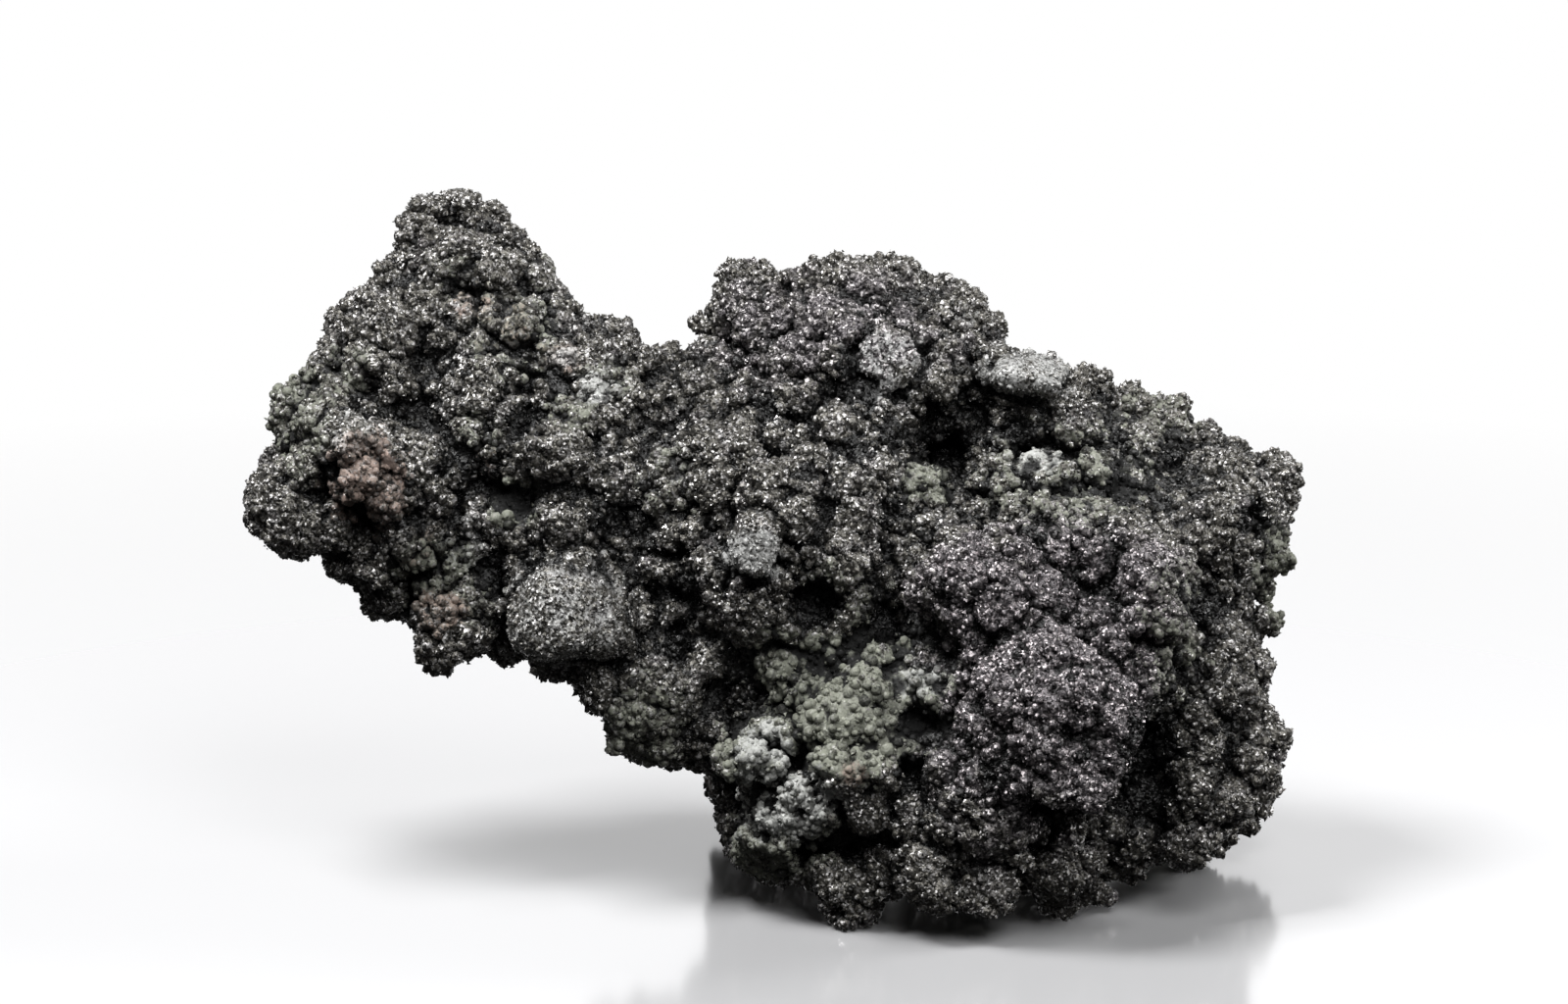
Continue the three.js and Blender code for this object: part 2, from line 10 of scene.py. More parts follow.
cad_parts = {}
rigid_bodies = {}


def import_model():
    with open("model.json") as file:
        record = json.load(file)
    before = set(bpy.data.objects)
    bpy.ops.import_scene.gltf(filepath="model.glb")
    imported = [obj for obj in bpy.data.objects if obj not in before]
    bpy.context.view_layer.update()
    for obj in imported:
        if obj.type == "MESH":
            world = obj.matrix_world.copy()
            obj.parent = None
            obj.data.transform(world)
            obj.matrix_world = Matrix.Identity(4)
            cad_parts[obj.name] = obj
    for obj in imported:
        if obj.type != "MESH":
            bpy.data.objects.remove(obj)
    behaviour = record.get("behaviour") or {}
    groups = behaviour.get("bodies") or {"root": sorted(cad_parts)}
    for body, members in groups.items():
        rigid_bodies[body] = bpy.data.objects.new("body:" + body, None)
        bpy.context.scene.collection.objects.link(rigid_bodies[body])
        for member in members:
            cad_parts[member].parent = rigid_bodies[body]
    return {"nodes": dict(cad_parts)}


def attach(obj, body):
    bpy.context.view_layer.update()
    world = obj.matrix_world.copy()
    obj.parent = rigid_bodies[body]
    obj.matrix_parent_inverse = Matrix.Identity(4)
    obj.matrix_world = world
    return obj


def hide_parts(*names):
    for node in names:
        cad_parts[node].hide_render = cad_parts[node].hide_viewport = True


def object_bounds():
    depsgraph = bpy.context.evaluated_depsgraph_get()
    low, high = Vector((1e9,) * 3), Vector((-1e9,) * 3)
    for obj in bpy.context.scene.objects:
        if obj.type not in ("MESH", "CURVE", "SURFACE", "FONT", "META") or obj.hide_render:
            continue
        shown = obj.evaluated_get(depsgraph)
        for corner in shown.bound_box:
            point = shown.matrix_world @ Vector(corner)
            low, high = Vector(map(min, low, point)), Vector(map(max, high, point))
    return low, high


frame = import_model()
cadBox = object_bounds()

millimetre = 0.001
chance = np.random.default_rng(4581)

# The view of the photograph. A place on the best side is (across, up) in millimetres, on an upright sheet
# that stands square to the line of sight, and depth runs away from the eye.
view = {
    "eyeDistance": 533,
    "lookDown": math.radians(12),
    "sightUp": 42.8,  # where the line of sight crosses the sheet
    "sheetDrop": -1.5,
    "sheetMiddle": (-0.6523, 9.5940),  # middle of the footprint, measured from the foot of the sheet
    "lens": 119.925,
    "sensor": 36,
}
cosDown = math.cos(view["lookDown"])
sinDown = math.sin(view["lookDown"])


def fromSheet(across, up, depth=0.0):
    spread = 1 + depth / view["eyeDistance"]
    x = across * spread
    y = view["sightUp"] + (up - view["sightUp"]) * spread
    place = Vector((x, depth * cosDown + y * sinDown, y * cosDown - depth * sinDown + view["sheetDrop"]))
    return (place - Vector((*view["sheetMiddle"], 0))) * millimetre


def toSheet(places):
    x, y, z = (places / millimetre).T
    x = x + view["sheetMiddle"][0]
    y = y + view["sheetMiddle"][1]
    z = z - view["sheetDrop"]
    depth = y * cosDown - z * sinDown
    spread = 1 + depth / view["eyeDistance"]
    up = y * sinDown + z * cosDown
    return np.stack([x / spread, view["sightUp"] + (up - view["sightUp"]) / spread, depth], axis=1)


eyePlace = Vector((
    -view["sheetMiddle"][0],
    -view["eyeDistance"] * cosDown + view["sightUp"] * sinDown - view["sheetMiddle"][1],
    view["sightUp"] * cosDown + view["eyeDistance"] * sinDown + view["sheetDrop"],
)) * millimetre

cameraData = bpy.data.cameras.new("photoCamera")
cameraData.lens = view["lens"]
cameraData.sensor_width = view["sensor"]
cameraData.clip_start = 0.01
camera = bpy.data.objects.new("photoCamera", cameraData)
camera.location = eyePlace
camera.rotation_euler = (math.pi / 2 - view["lookDown"], 0, 0)
bpy.context.collection.objects.link(camera)
bpy.context.scene.camera = camera

# Patches of other colour on the best side: across, up, half width, half height, strength.
patches = {
    "green": [
        (-50.0, 51.5, 4.0, 6.5, 0.65), (-45.0, 56.0, 3.5, 3.0, 0.5), (-27.5, 60.0, 4.5, 6.0, 0.55),
        (-28.0, 42.5, 2.6, 2.6, 1.0), (-36.0, 36.5, 4.5, 3.5, 0.8), (5.5, 22.5, 11.0, 8.5, 1.0),
        (-2.5, 17.0, 5.0, 4.5, 1.0), (29.5, 45.5, 10.5, 5.5, 0.62), (37.0, 51.0, 6.0, 3.5, 0.5),
        (14.5, 45.0, 3.0, 3.0, 0.8), (51.0, 35.0, 3.0, 6.0, 0.8), (40.0, 29.5, 4.0, 8.0, 0.6),
        (-1.0, 9.5, 7.5, 5.5, 0.8), (-14.0, 20.0, 5.0, 5.0, 0.7), (-34.0, 33.5, 5.5, 5.0, 0.5),
        (-22.0, 52.0, 3.0, 2.5, 0.6), (-18.0, 55.5, 3.5, 2.0, 0.5), (-34.0, 66.0, 3.0, 3.0, 0.45),
        (-31.0, 50.0, 3.0, 2.5, 0.5), (-12.0, 45.0, 3.5, 4.0, 0.45), (6.0, 33.0, 5.0, 4.0, 0.5),
    ],
    "rust": [
        (-42.5, 44.8, 4.2, 5.6, 0.9), (-35.0, 31.5, 3.0, 2.4, 0.7), (-32.0, 62.8, 2.0, 1.4, 0.6),
        (-28.5, 61.0, 3.0, 3.5, 0.4), (-38.0, 39.0, 3.0, 3.0, 0.45), (7.0, 15.0, 1.4, 1.2, 0.7),
        (-22.5, 57.5, 2.6, 1.4, 0.5), (-30.5, 47.0, 2.2, 1.6, 0.3),
    ],
    "pale": [
        (24.8, 55.8, 5.4, 2.8, 0.9), (18.5, 62.2, 2.2, 1.4, 0.5), (-3.4, 37.4, 3.6, 2.6, 1.0),
        (-19.5, 54.6, 2.4, 1.6, 0.9), (26.0, 47.5, 3.4, 2.0, 0.8), (13.5, 25.0, 2.6, 2.2, 0.8),
        (-0.5, 12.0, 6.0, 4.5, 1.0), (-2.0, 18.2, 3.2, 2.6, 1.0), (-22.2, 31.2, 7.5, 7.0, 0.55),
        (-39.0, 38.5, 2.0, 1.6, 0.6), (-22.5, 57.6, 2.2, 1.0, 0.6), (10.6, 56.8, 5.0, 4.2, 0.62),
        (-44.0, 50.0, 3.0, 2.5, 0.5), (-33.0, 38.5, 3.0, 3.0, 0.5),
    ],
    "warm": [(28.0, 26.0, 18.0, 16.0, 1.0), (4.0, 60.0, 12.0, 6.0, 0.5)],
}

# Smooth forms that bear crystals but no knobs.
calmForms = [
    (-22.2, 30.8, 8.4, 8.0), (10.6, 57.2, 4.6, 4.2), (24.8, 55.6, 5.4, 2.8), (-3.0, 38.4, 3.6, 4.6),
    (8.5, 11.0, 3.4, 3.4), (26.0, 47.5, 3.2, 1.8), (11.3, 25.4, 1.8, 2.0), (-7.8, 26.8, 3.4, 3.4),
    (-11.7, 31.8, 3.2, 2.9),
]

# Deep gaps between the lobes of the best side, drawn deeper into the solid and painted nearly black as painted
# shade: across, up, half width, half height.
gaps = [
    (-33.0, 46.5, 2.2, 1.6), (-27.0, 42.8, 2.4, 1.5), (-22.8, 54.8, 1.6, 1.3), (-26.0, 50.8, 1.8, 1.5),
    (-17.5, 40.8, 3.0, 2.0), (6.3, 56.5, 1.2, 2.2), (8.0, 53.2, 1.5, 2.0), (-13.2, 55.2, 1.3, 1.1),
    (7.0, 47.8, 1.6, 1.5), (11.0, 49.8, 1.6, 1.3), (2.0, 45.8, 1.7, 1.3), (11.0, 42.0, 1.5, 1.3),
    (3.2, 32.5, 3.2, 2.6), (16.5, 48.8, 3.6, 2.2), (23.5, 50.0, 2.4, 1.5), (-6.2, 35.0, 1.2, 1.6),
    (-10.0, 34.0, 1.8, 1.4), (-10.8, 28.5, 1.3, 1.4), (26.0, 40.0, 1.9, 1.3), (48.0, 41.0, 2.0, 2.0),
    (42.5, 32.5, 2.6, 2.4), (37.0, 18.0, 3.0, 4.0), (36.5, 12.5, 2.8, 3.0), (13.5, 20.0, 1.8, 1.8),
    (13.0, 15.0, 2.0, 1.8), (7.0, 7.0, 1.4, 1.2), (21.5, 15.0, 1.8, 1.6), (30.0, 25.0, 1.2, 1.5),
    (-38.0, 40.0, 1.3, 1.4), (-46.0, 46.0, 1.2, 1.3), (-29.5, 36.0, 1.4, 1.6), (16.0, 34.0, 1.5, 1.2),
    (34.5, 44.5, 1.5, 1.2), (-2.0, 52.5, 1.2, 1.8),
]

# Where the outline of the solid is nudged: across, up, reach, and how far it goes across and up.
nudges = [
    (-41.0, 68.7, 6.0, 0.6, -0.2), (-19.7, 64.1, 4.5, -0.5, -0.5), (-2.6, 68.2, 5.0, 0.0, -0.9),
    (-7.3, 63.5, 4.0, 0.4, 0.0), (12.4, 68.2, 4.0, 0.0, -0.4), (27.0, 58.9, 5.0, -0.1, -0.7),
    (36.3, 55.8, 5.5, -0.3, -0.8), (50.3, 47.5, 4.0, -0.3, -0.3), (50.2, 26.0, 5.0, -0.5, 0.0),
    (46.7, 8.6, 4.0, -0.4, 0.2), (-46.1, 34.5, 4.0, 0.3, 0.5), (-21.2, 23.1, 3.5, 1.0, 2.6),
    (-8.8, 11.7, 4.0, 1.2, 0.0), (3.0, 1.5, 4.0, 2.0, 1.0), (34.5, 4.5, 3.0, 0.0, 0.6),
    (-37.0, 76.0, 5.0, 0.0, 0.9), (-2.0, 6.0, 4.0, -0.8, -0.9), (-4.5, 68.0, 3.0, -0.9, 0.9),
]

# The small feet under the best side: across, up at the tip, radius. Each stands back as far as the skin above.
feet = [
    (7.0, 0.4, 1.7), (6.2, 3.0, 2.0), (15.5, 2.6, 2.1), (20.0, 1.9, 2.3), (28.0, 0.9, 1.9),
    (27.5, 4.5, 2.4), (42.2, 4.4, 1.4), (41.8, 6.8, 1.6), (36.0, 7.5, 2.0),
]
footing = {"skinAbove": 1.5, "rough": 0.1}


# Places that lie in the shade of what stands around them: across, up, half width, half height, strength.
shaded = [
    (31.0, 46.5, 11.0, 5.0, 0.26), (37.0, 15.0, 9.0, 9.0, 0.16), (46.0, 45.0, 6.0, 6.0, 0.12),
    (-24.0, 66.0, 12.0, 8.0, 0.10), (10.0, 50.0, 9.0, 9.0, 0.08), (24.0, 13.0, 9.0, 7.0, 0.10),
]


# How far behind its own spot on the skin each kind of form still counts, in millimetres.
formReach = {"calm": 7, "gap": 10, "patch": 10, "patchFade": 3, "shaded": 15}
formEdge = {"end": 1.25, "over": 0.5}  # where a form ends, and over how much it fades, in its half sizes


def ellipseShare(sheet, form, ragged=0.0):
    across, up, wide, high = form[:4]
    reach = np.hypot((sheet[:, 0] - across) / wide, (sheet[:, 1] - up) / high) + ragged
    return np.clip((formEdge["end"] - reach) / formEdge["over"], 0, 1)


def noiseAt(places, size, shift=0.0):
    scaled = places / (size * millimetre) + shift
    return np.array([noise.noise(Vector(place)) for place in scaled])


# reading and writing meshes as arrays


def deselectAll():
    if bpy.context.object and bpy.context.object.mode != "OBJECT":
        bpy.ops.object.mode_set(mode="OBJECT")
    bpy.ops.object.select_all(action="DESELECT")


def pick(*things):
    deselectAll()
    for thing in things:
        thing.select_set(True)
    bpy.context.view_layer.objects.active = things[0]


def arraysOf(thing):
    mesh = thing.data
    mesh.calc_loop_triangles()
    corners = np.empty(len(mesh.vertices) * 3)
    mesh.vertices.foreach_get("co", corners)
    normals = np.empty(len(mesh.vertices) * 3)
    mesh.vertices.foreach_get("normal", normals)
    sides = np.empty(len(mesh.loop_triangles) * 3, dtype=np.int32)
    mesh.loop_triangles.foreach_get("vertices", sides)
    return corners.reshape(-1, 3), sides.reshape(-1, 3), normals.reshape(-1, 3)


def meshOf(name, corners, sides, smooth=True):
    mesh = bpy.data.meshes.new(name)
    mesh.from_pydata(corners, [], sides)
    mesh.polygons.foreach_set("use_smooth", np.broadcast_to(smooth, len(sides)).astype(bool))
    mesh.update()
    thing = bpy.data.objects.new(name, mesh)
    bpy.context.collection.objects.link(thing)
    return thing


def mark(thing, marks):
    for name, values in marks.items():
        attribute = thing.data.attributes.new(name, "FLOAT", "POINT")
        attribute.data.foreach_set("value", np.asarray(values, dtype=np.float32))


def unitShape(add):
    # a primitive of radius 1, read as arrays and taken away again
    deselectAll()
    add()
    shape = bpy.context.object
    corners, sides, _ = arraysOf(shape)
    bpy.data.objects.remove(shape, do_unlink=True)
    return corners, sides


def randomTurns(count):
    q = chance.normal(size=(count, 4))
    w, x, y, z = (q / np.linalg.norm(q, axis=1, keepdims=True)).T
    return np.stack([
        np.stack([1 - 2 * (y * y + z * z), 2 * (x * y - z * w), 2 * (x * z + y * w)], axis=1),
        np.stack([2 * (x * y + z * w), 1 - 2 * (x * x + z * z), 2 * (y * z - x * w)], axis=1),
        np.stack([2 * (x * z - y * w), 2 * (y * z + x * w), 1 - 2 * (x * x + y * y)], axis=1),
    ], axis=1)


def copiesOf(shape, places, sizes, rough):
    # one turned, stretched and roughened copy of a shape at each place
    corners, sides = shape
    count = len(places)
    jitter = 1 + rough * chance.uniform(-1, 1, (count, len(corners), 1))
    shaped = corners[None] * sizes[:, None, :] * jitter
    turned = np.einsum("nij,nkj->nki", randomTurns(count), shaped) + places[:, None]
    offsets = np.arange(count)[:, None, None] * len(corners)
    return turned.reshape(-1, 3), (sides[None] + offsets).reshape(-1, 3)


def scatter(corners, sides, normals, count):
    a, b, c = corners[sides].transpose(1, 0, 2)
    area = np.linalg.norm(np.cross(b - a, c - a), axis=1)
    chosen = chance.choice(len(sides), count, p=area / area.sum())
    root = np.sqrt(chance.random(count))
    along = chance.random(count)
    weights = np.stack([1 - root, root * (1 - along), root * along], axis=1)
    places = np.einsum("nk,nkj->nj", weights, corners[sides[chosen]])
    leans = np.einsum("nk,nkj->nj", weights, normals[sides[chosen]])
    return places, leans / np.maximum(np.linalg.norm(leans, axis=1, keepdims=True), 1e-9)


def spaced(places, gap):
    # keeps the places that lie at least a gap from those kept before
    cells = {}
    kept = []
    keys = np.floor(places / gap).astype(int)
    around = [(i, j, k) for i in (-1, 0, 1) for j in (-1, 0, 1) for k in (-1, 0, 1)]
    for index, (key, place) in enumerate(zip(keys.tolist(), places.tolist())):
        crowded = False
        for i, j, k in around:
            for x, y, z in cells.get((key[0] + i, key[1] + j, key[2] + k), ()):
                if (x - place[0]) ** 2 + (y - place[1]) ** 2 + (z - place[2]) ** 2 < gap * gap:
                    crowded = True
                    break
            if crowded:
                break
        if not crowded:
            cells.setdefault(tuple(key), []).append(place)
            kept.append(index)
    return np.array(kept)


# the body of the crust

crustBody = {
    "coarseVoxel": 0.8 * millimetre,
    "smoothTurns": 3,
    "drawIn": 6.0,  # millimetres; the growth brings the skin back out
    "calmSpared": 0.93,
    "hollowSpared": 1.2,  # how hollow a place is, in millimetres, when it draws in least
    "leastShare": 0.2,
    "feel": 7.0,  # the distance in millimetres over which hollows of the solid are felt
    "gapDeeper": 2.5,
    "thinShare": 0.16,  # of the thickness, the most that a thin place draws in
    "thickest": 60.0,
    "probeUnder": 0.4,  # millimetres under the skin, from where the thickness is felt
}

# The growth, coarse to fine, all in millimetres. Lobes and knobs are balls under the outer skin, by their
# radius and a draw from "under". Heads and buds are round swellings side by side with sharp grooves.
lobes = [
    {"name": "lobes", "gap": 4.9, "radius": (1.9, 3.9), "under": (1.3, 3.8), "hollow": 0.8, "tries": 12000},
    {"name": "knobs", "gap": 2.4, "radius": (1.1, 2.2), "under": (1.3, 4.8), "hollow": 1.1, "tries": 60000},
    {"name": "pebbles", "gap": 1.5, "radius": (0.7, 1.2), "under": (3.2, 6.0), "hollow": 1.3, "tries": 120000},
]
swellings = [
    {"name": "heads", "voxel": 0.44, "size": 2.8, "height": 1.8, "calm": 0.0, "shift": 3.7},
    {"name": "buds", "voxel": 0.32, "size": 1.2, "height": 0.85, "calm": 0.3, "shift": 9.1},
]


def within(places, margin):
    # held inside the box of the solid, and above the floor
    low, high = (np.array(side) for side in cadBox)
    margin = np.broadcast_to(margin, len(places))[:, None]
    return np.clip(places, low + margin, high - margin)


def applyModifier(thing, kind, **settings):
    modifier = thing.modifiers.new(kind.lower(), kind)
    for name, value in settings.items():
        setattr(modifier, name, value)
    pick(thing)
    bpy.ops.object.modifier_apply(modifier=modifier.name)


def calmShare(places):
    sheet = toSheet(places)
    share = np.zeros(len(places))
    for form, depth in zip(calmForms, calmDepths):
        near = sheet[:, 2] < depth + formReach["calm"]
        share = np.maximum(share, ellipseShare(sheet, form) * near)
    return share


def gapShare(places):
    sheet = toSheet(places)
    share = np.zeros(len(places))
    for form, depth in zip(gaps, gapDepths):
        near = sheet[:, 2] < depth + formReach["gap"]
        share = np.maximum(share, ellipseShare(sheet, form) * near)
    return share


def skinTree(thing):
    corners, sides, _ = arraysOf(thing)
    return BVHTree.FromPolygons(corners.tolist(), sides.tolist())


def depthAt(tree, across, up):
    hit = tree.ray_cast(eyePlace, (fromSheet(across, up) - eyePlace).normalized())[0]
    return toSheet(np.array([hit]))[0, 2] if hit else 0.0


def hollowField(places, feel):
    # the middle of the skin around each cell of a grid, felt over a distance in millimetres
    cell = feel * millimetre / 3
    low = places.min(axis=0) - 3 * cell
    keys = np.floor((places - low) / cell).astype(int)
    size = keys.max(axis=0) + 5
    sums = np.zeros((*size, 4), dtype=np.float32)
    np.add.at(sums, tuple(keys.T), np.column_stack([places - low, np.ones(len(places))]).astype(np.float32))
    for axis in (0, 1, 2, 0, 1, 2):
        sums = sums + np.roll(sums, 1, axis) + np.roll(sums, -1, axis)
    return {"cell": cell, "low": low, "size": size, "sums": sums}


def hollowAt(field, places, leans):
    # how far, in millimetres, the skin around stands above each place: below 0 on a knob, above 0 in a gap
    spot = (places - field["low"]) / field["cell"] - 0.5
    base = np.clip(np.floor(spot).astype(int), 0, field["size"] - 2)
    share = np.clip(spot - base, 0, 1)
    total = np.zeros((len(places), 4))
    for i in (0, 1):
        for j in (0, 1):
            for k in (0, 1):
                weight = np.prod(np.where([i, j, k], share, 1 - share), axis=1)
                total += weight[:, None] * field["sums"][base[:, 0] + i, base[:, 1] + j, base[:, 2] + k]
    middle = total[:, :3] / np.maximum(total[:, 3:], 1e-9) + field["low"]
    return ((middle - places) * leans).sum(axis=1) / millimetre


def thicknessAt(places, leans):
    # how much crust lies under each place, in millimetres
    depth = np.full(len(places), crustBody["thickest"])
    for index, (place, lean) in enumerate(zip(places, leans)):
        hit = cadTree.ray_cast(Vector(place - lean * crustBody["probeUnder"] * millimetre), Vector(-lean))
        if hit[0]:
            depth[index] = hit[3] / millimetre
    return depth


cadCrust = frame["nodes"]["rheniite_crust"]
crust = bpy.data.objects.new("crust_body", cadCrust.data.copy())
bpy.context.collection.objects.link(crust)
crust.data.materials.clear()
pick(crust)
bpy.ops.object.mode_set(mode="EDIT")
bpy.ops.mesh.select_all(action="SELECT")
bpy.ops.mesh.remove_doubles(threshold=0.001 * millimetre)
bpy.ops.object.mode_set(mode="OBJECT")

cadTree = skinTree(crust)
calmDepths = [depthAt(cadTree, form[0], form[1]) for form in calmForms]
gapDepths = [depthAt(cadTree, form[0], form[1]) for form in gaps]
patchDepths = {
    name: [depthAt(cadTree, patch[0], patch[1]) for patch in group]
    for name, group in patches.items()
}

applyModifier(crust, "REMESH", mode="VOXEL", voxel_size=crustBody["coarseVoxel"])
applyModifier(crust, "SMOOTH", factor=0.5, iterations=crustBody["smoothTurns"])

corners, sides, normals = arraysOf(crust)
sheet = toSheet(corners)
for across, up, reach, goAcross, goUp in nudges:
    near = np.exp(-((sheet[:, 0] - across) ** 2 + (sheet[:, 1] - up) ** 2) / reach**2)
    corners += near[:, None] * np.array([goAcross, 0, goUp]) * millimetre
calm = calmShare(corners)
thick = thicknessAt(corners, normals)
outerField = hollowField(corners, crustBody["feel"])
hollow = hollowAt(outerField, corners, normals)
onCrowns = np.clip(1 - hollow / crustBody["hollowSpared"], crustBody["leastShare"], 1)
wanted = crustBody["drawIn"] * (1 - crustBody["calmSpared"] * calm) * onCrowns
wanted = wanted + crustBody["gapDeeper"] * gapShare(corners)
inward = np.minimum(wanted, crustBody["thinShare"] * thick)
outerSkin = (corners.copy(), sides, normals)
outerTree = BVHTree.FromPolygons(corners.tolist(), sides.tolist())
corners -= normals * (inward * millimetre)[:, None]
crust.data.vertices.foreach_set("co", corners.ravel())
crust.data.update()
print("crust: solid rounded and drawn in,", len(corners), "corners")

ball80 = unitShape(lambda: bpy.ops.mesh.primitive_ico_sphere_add(subdivisions=2, radius=1))
ball20 = unitShape(lambda: bpy.ops.mesh.primitive_ico_sphere_add(subdivisions=1, radius=1))
ball48 = unitShape(lambda: bpy.ops.mesh.primitive_uv_sphere_add(segments=8, ring_count=4, radius=1))
shard4 = unitShape(lambda: bpy.ops.mesh.primitive_cone_add(vertices=3, radius1=1, radius2=0, depth=1.3))

growth = {
    "broadNoise": (13.0, 3.3),  # size in millimetres and shift of the noise that parts large balls from small
    "bareNoise": (7.0, 77.0),
    "bareAbove": 0.42,  # the noise above which nothing grows
    "gapBelow": 0.5,
    "calmBelow": 0.2,
    "sizePower": 1.3,
    "broadSlope": 1.3,
    "leastShare": 0.35,
    "thickness": 2.4,  # of the radius, which the crust under a ball has at least
    "margin": 0.9,  # millimetres from the sides of the box
    "clearShare": 0.84,
    "stretch": (0.72, 1.22),
    "rough": 0.12,
}
grown = {"places": np.empty((0, 3)), "radius": np.empty(0)}


def clearOfGrown(places, radius):
    # the balls that keep a share of both radii away from those grown before
    finder = KDTree(len(grown["places"]))
    for index, place in enumerate(grown["places"]):
        finder.insert(place, index)
    finder.balance()
    largest = lobes[0]["radius"][1] * millimetre
    clear = np.ones(len(places), dtype=bool)
    for index, (place, own) in enumerate(zip(places, radius)):
        for _, other, distance in finder.find_range(place, own + largest):
            if distance < growth["clearShare"] * (own + grown["radius"][other]):
                clear[index] = False
                break
    return clear


def growLobes(thing, level):
    places, leans = scatter(*outerSkin, level["tries"])
    low, high = level["radius"]
    broad = np.clip(0.5 + growth["broadSlope"] * noiseAt(places, *growth["broadNoise"]), 0, 1)
    drawn = chance.random(len(places)) ** growth["sizePower"]
    share = growth["leastShare"] + (1 - growth["leastShare"]) * broad
    radius = (low + (high - low) * drawn * share) * millimetre
    kept = calmShare(places) < growth["calmBelow"]
    kept &= thicknessAt(places, leans) * millimetre > growth["thickness"] * radius
    kept &= hollowAt(outerField, places, leans) < level["hollow"]
    kept &= gapShare(places) < growth["gapBelow"]
    kept &= noiseAt(places, *growth["bareNoise"]) < growth["bareAbove"]
    depth = radius + chance.uniform(*level["under"], len(places)) * millimetre
    places = within(places - leans * depth[:, None], radius + growth["margin"] * millimetre)
    places, radius = places[kept], radius[kept]
    kept = spaced(places, level["gap"] * millimetre)
    places, radius = places[kept], radius[kept]
    if len(grown["places"]):
        clear = clearOfGrown(places, radius)
        places, radius = places[clear], radius[clear]
    grown["places"] = np.concatenate([grown["places"], places])
    grown["radius"] = np.concatenate([grown["radius"], radius])
    sizes = radius[:, None] * chance.uniform(*growth["stretch"], (len(radius), 3))
    print("crust:", len(radius), level["name"])
    grownOn = meshOf(level["name"], *copiesOf(ball80, places, sizes, growth["rough"]))
    pick(thing, grownOn)
    bpy.ops.object.join()


headShape = {
    "lowest": 0.55,
    "taller": 0.6,
    "reach": 0.8,
    # a broad noise makes the heads of one region taller than those of another
    "regionNoise": (6.0, 15.1),
    "regionUsual": 0.85,
    "regionTaller": 1.1,
    "regionLimits": (0.3, 1.2),
}
pressing = {
    "footReach": 1.9,  # of a foot's radius, within which nothing is pressed
    "least": 0.15,  # the share that skin which faces the eye is pressed back
    "more": 0.52,  # what the skin at the outline is pressed back beyond that
    "from": 0.35,
    "over": 0.3,
}


def swellingAt(places, size, shift):
    # height of round heads that stand side by side: 1 at a crown, 0 in the grooves, and taller or lower by head
    near = np.empty(len(places))
    middle = np.empty((len(places), 3))
    for index, place in enumerate(places / (size * millimetre) + shift):
        distances, points = noise.voronoi(place)
        near[index] = distances[0]
        middle[index] = points[0]
    # the middle of each head gives a number between 0 and 1 that looks drawn by chance
    draw = np.sin(middle @ (12.9898, 78.233, 37.719)) * 43758.5453
    tall = headShape["lowest"] + headShape["taller"] * (draw - np.floor(draw))
    return tall * np.sqrt(np.clip(1 - (near / headShape["reach"]) ** 2, 0, 1))


def swell(thing, level):
    applyModifier(thing, "REMESH", mode="VOXEL", voxel_size=level["voxel"] * millimetre)
    applyModifier(thing, "SMOOTH", factor=0.5, iterations=1)
    corners, sides, normals = arraysOf(thing)
    calm = calmShare(corners)
    region = headShape["regionUsual"] + headShape["regionTaller"] * noiseAt(corners, *headShape["regionNoise"])
    region = np.clip(region, *headShape["regionLimits"])
    height = level["height"] * region * (1 - (1 - level["calm"]) * calm)
    rise = swellingAt(corners, level["size"], level["shift"]) * height * millimetre
    corners = within(pressedBack(corners + normals * rise[:, None]), 0.0)
    thing.data.vertices.foreach_set("co", corners.ravel())
    thing.data.update()
    print("crust:", level["name"], "swollen,", len(sides), "triangles")


def pressedBack(places):
    # what stands out past the outer skin is pressed back, most of all at the outline; the feet are let be
    pressed = places.copy()
    onFoot = np.zeros(len(places), dtype=bool)
    for foot, radius in zip(footPlaces, footRadius):
        onFoot |= np.linalg.norm(places - foot, axis=1) < pressing["footReach"] * radius
    for index, place in enumerate(places.tolist()):
        if onFoot[index]:
            continue
        spot, facing, _, _ = outerTree.find_nearest(place)
        out = (Vector(place) - spot).dot(facing)
        if out > 0:
            turnedAway = 1 - abs(facing.dot((eyePlace - spot).normalized()))
            atOutline = min(max((turnedAway - pressing["from"]) / pressing["over"], 0), 1)
            pressed[index] -= np.array(facing) * out * (pressing["least"] + pressing["more"] * atOutline)
    return pressed


def keepLargestPart(thing):
    # closed pockets and loose crumbs go, and the outer skin stays
    pick(thing)
    bpy.ops.object.mode_set(mode="EDIT")
    bpy.ops.mesh.select_all(action="SELECT")
    bpy.ops.mesh.separate(type="LOOSE")
    bpy.ops.object.mode_set(mode="OBJECT")
    parts = sorted(bpy.context.selected_objects, key=lambda part: len(part.data.vertices))
    for part in parts[:-1]:
        bpy.data.objects.remove(part, do_unlink=True)
    return parts[-1]


for level in lobes:
    growLobes(crust, level)
footRadius = np.array([radius for _, _, radius in feet]) * millimetre
footPlaces = np.array([
    fromSheet(across, tip + radius, depthAt(cadTree, across, tip + radius + footing["skinAbove"]) + radius)
    for across, tip, radius in feet
])
footPlaces = within(footPlaces, footRadius)
footSizes = np.repeat(footRadius[:, None], 3, axis=1)
footShapes = meshOf("feet", *copiesOf(ball80, footPlaces, footSizes, footing["rough"]))
pick(crust, footShapes)
bpy.ops.object.join()
for level in swellings:
    swell(crust, level)
    crust = keepLargestPart(crust)


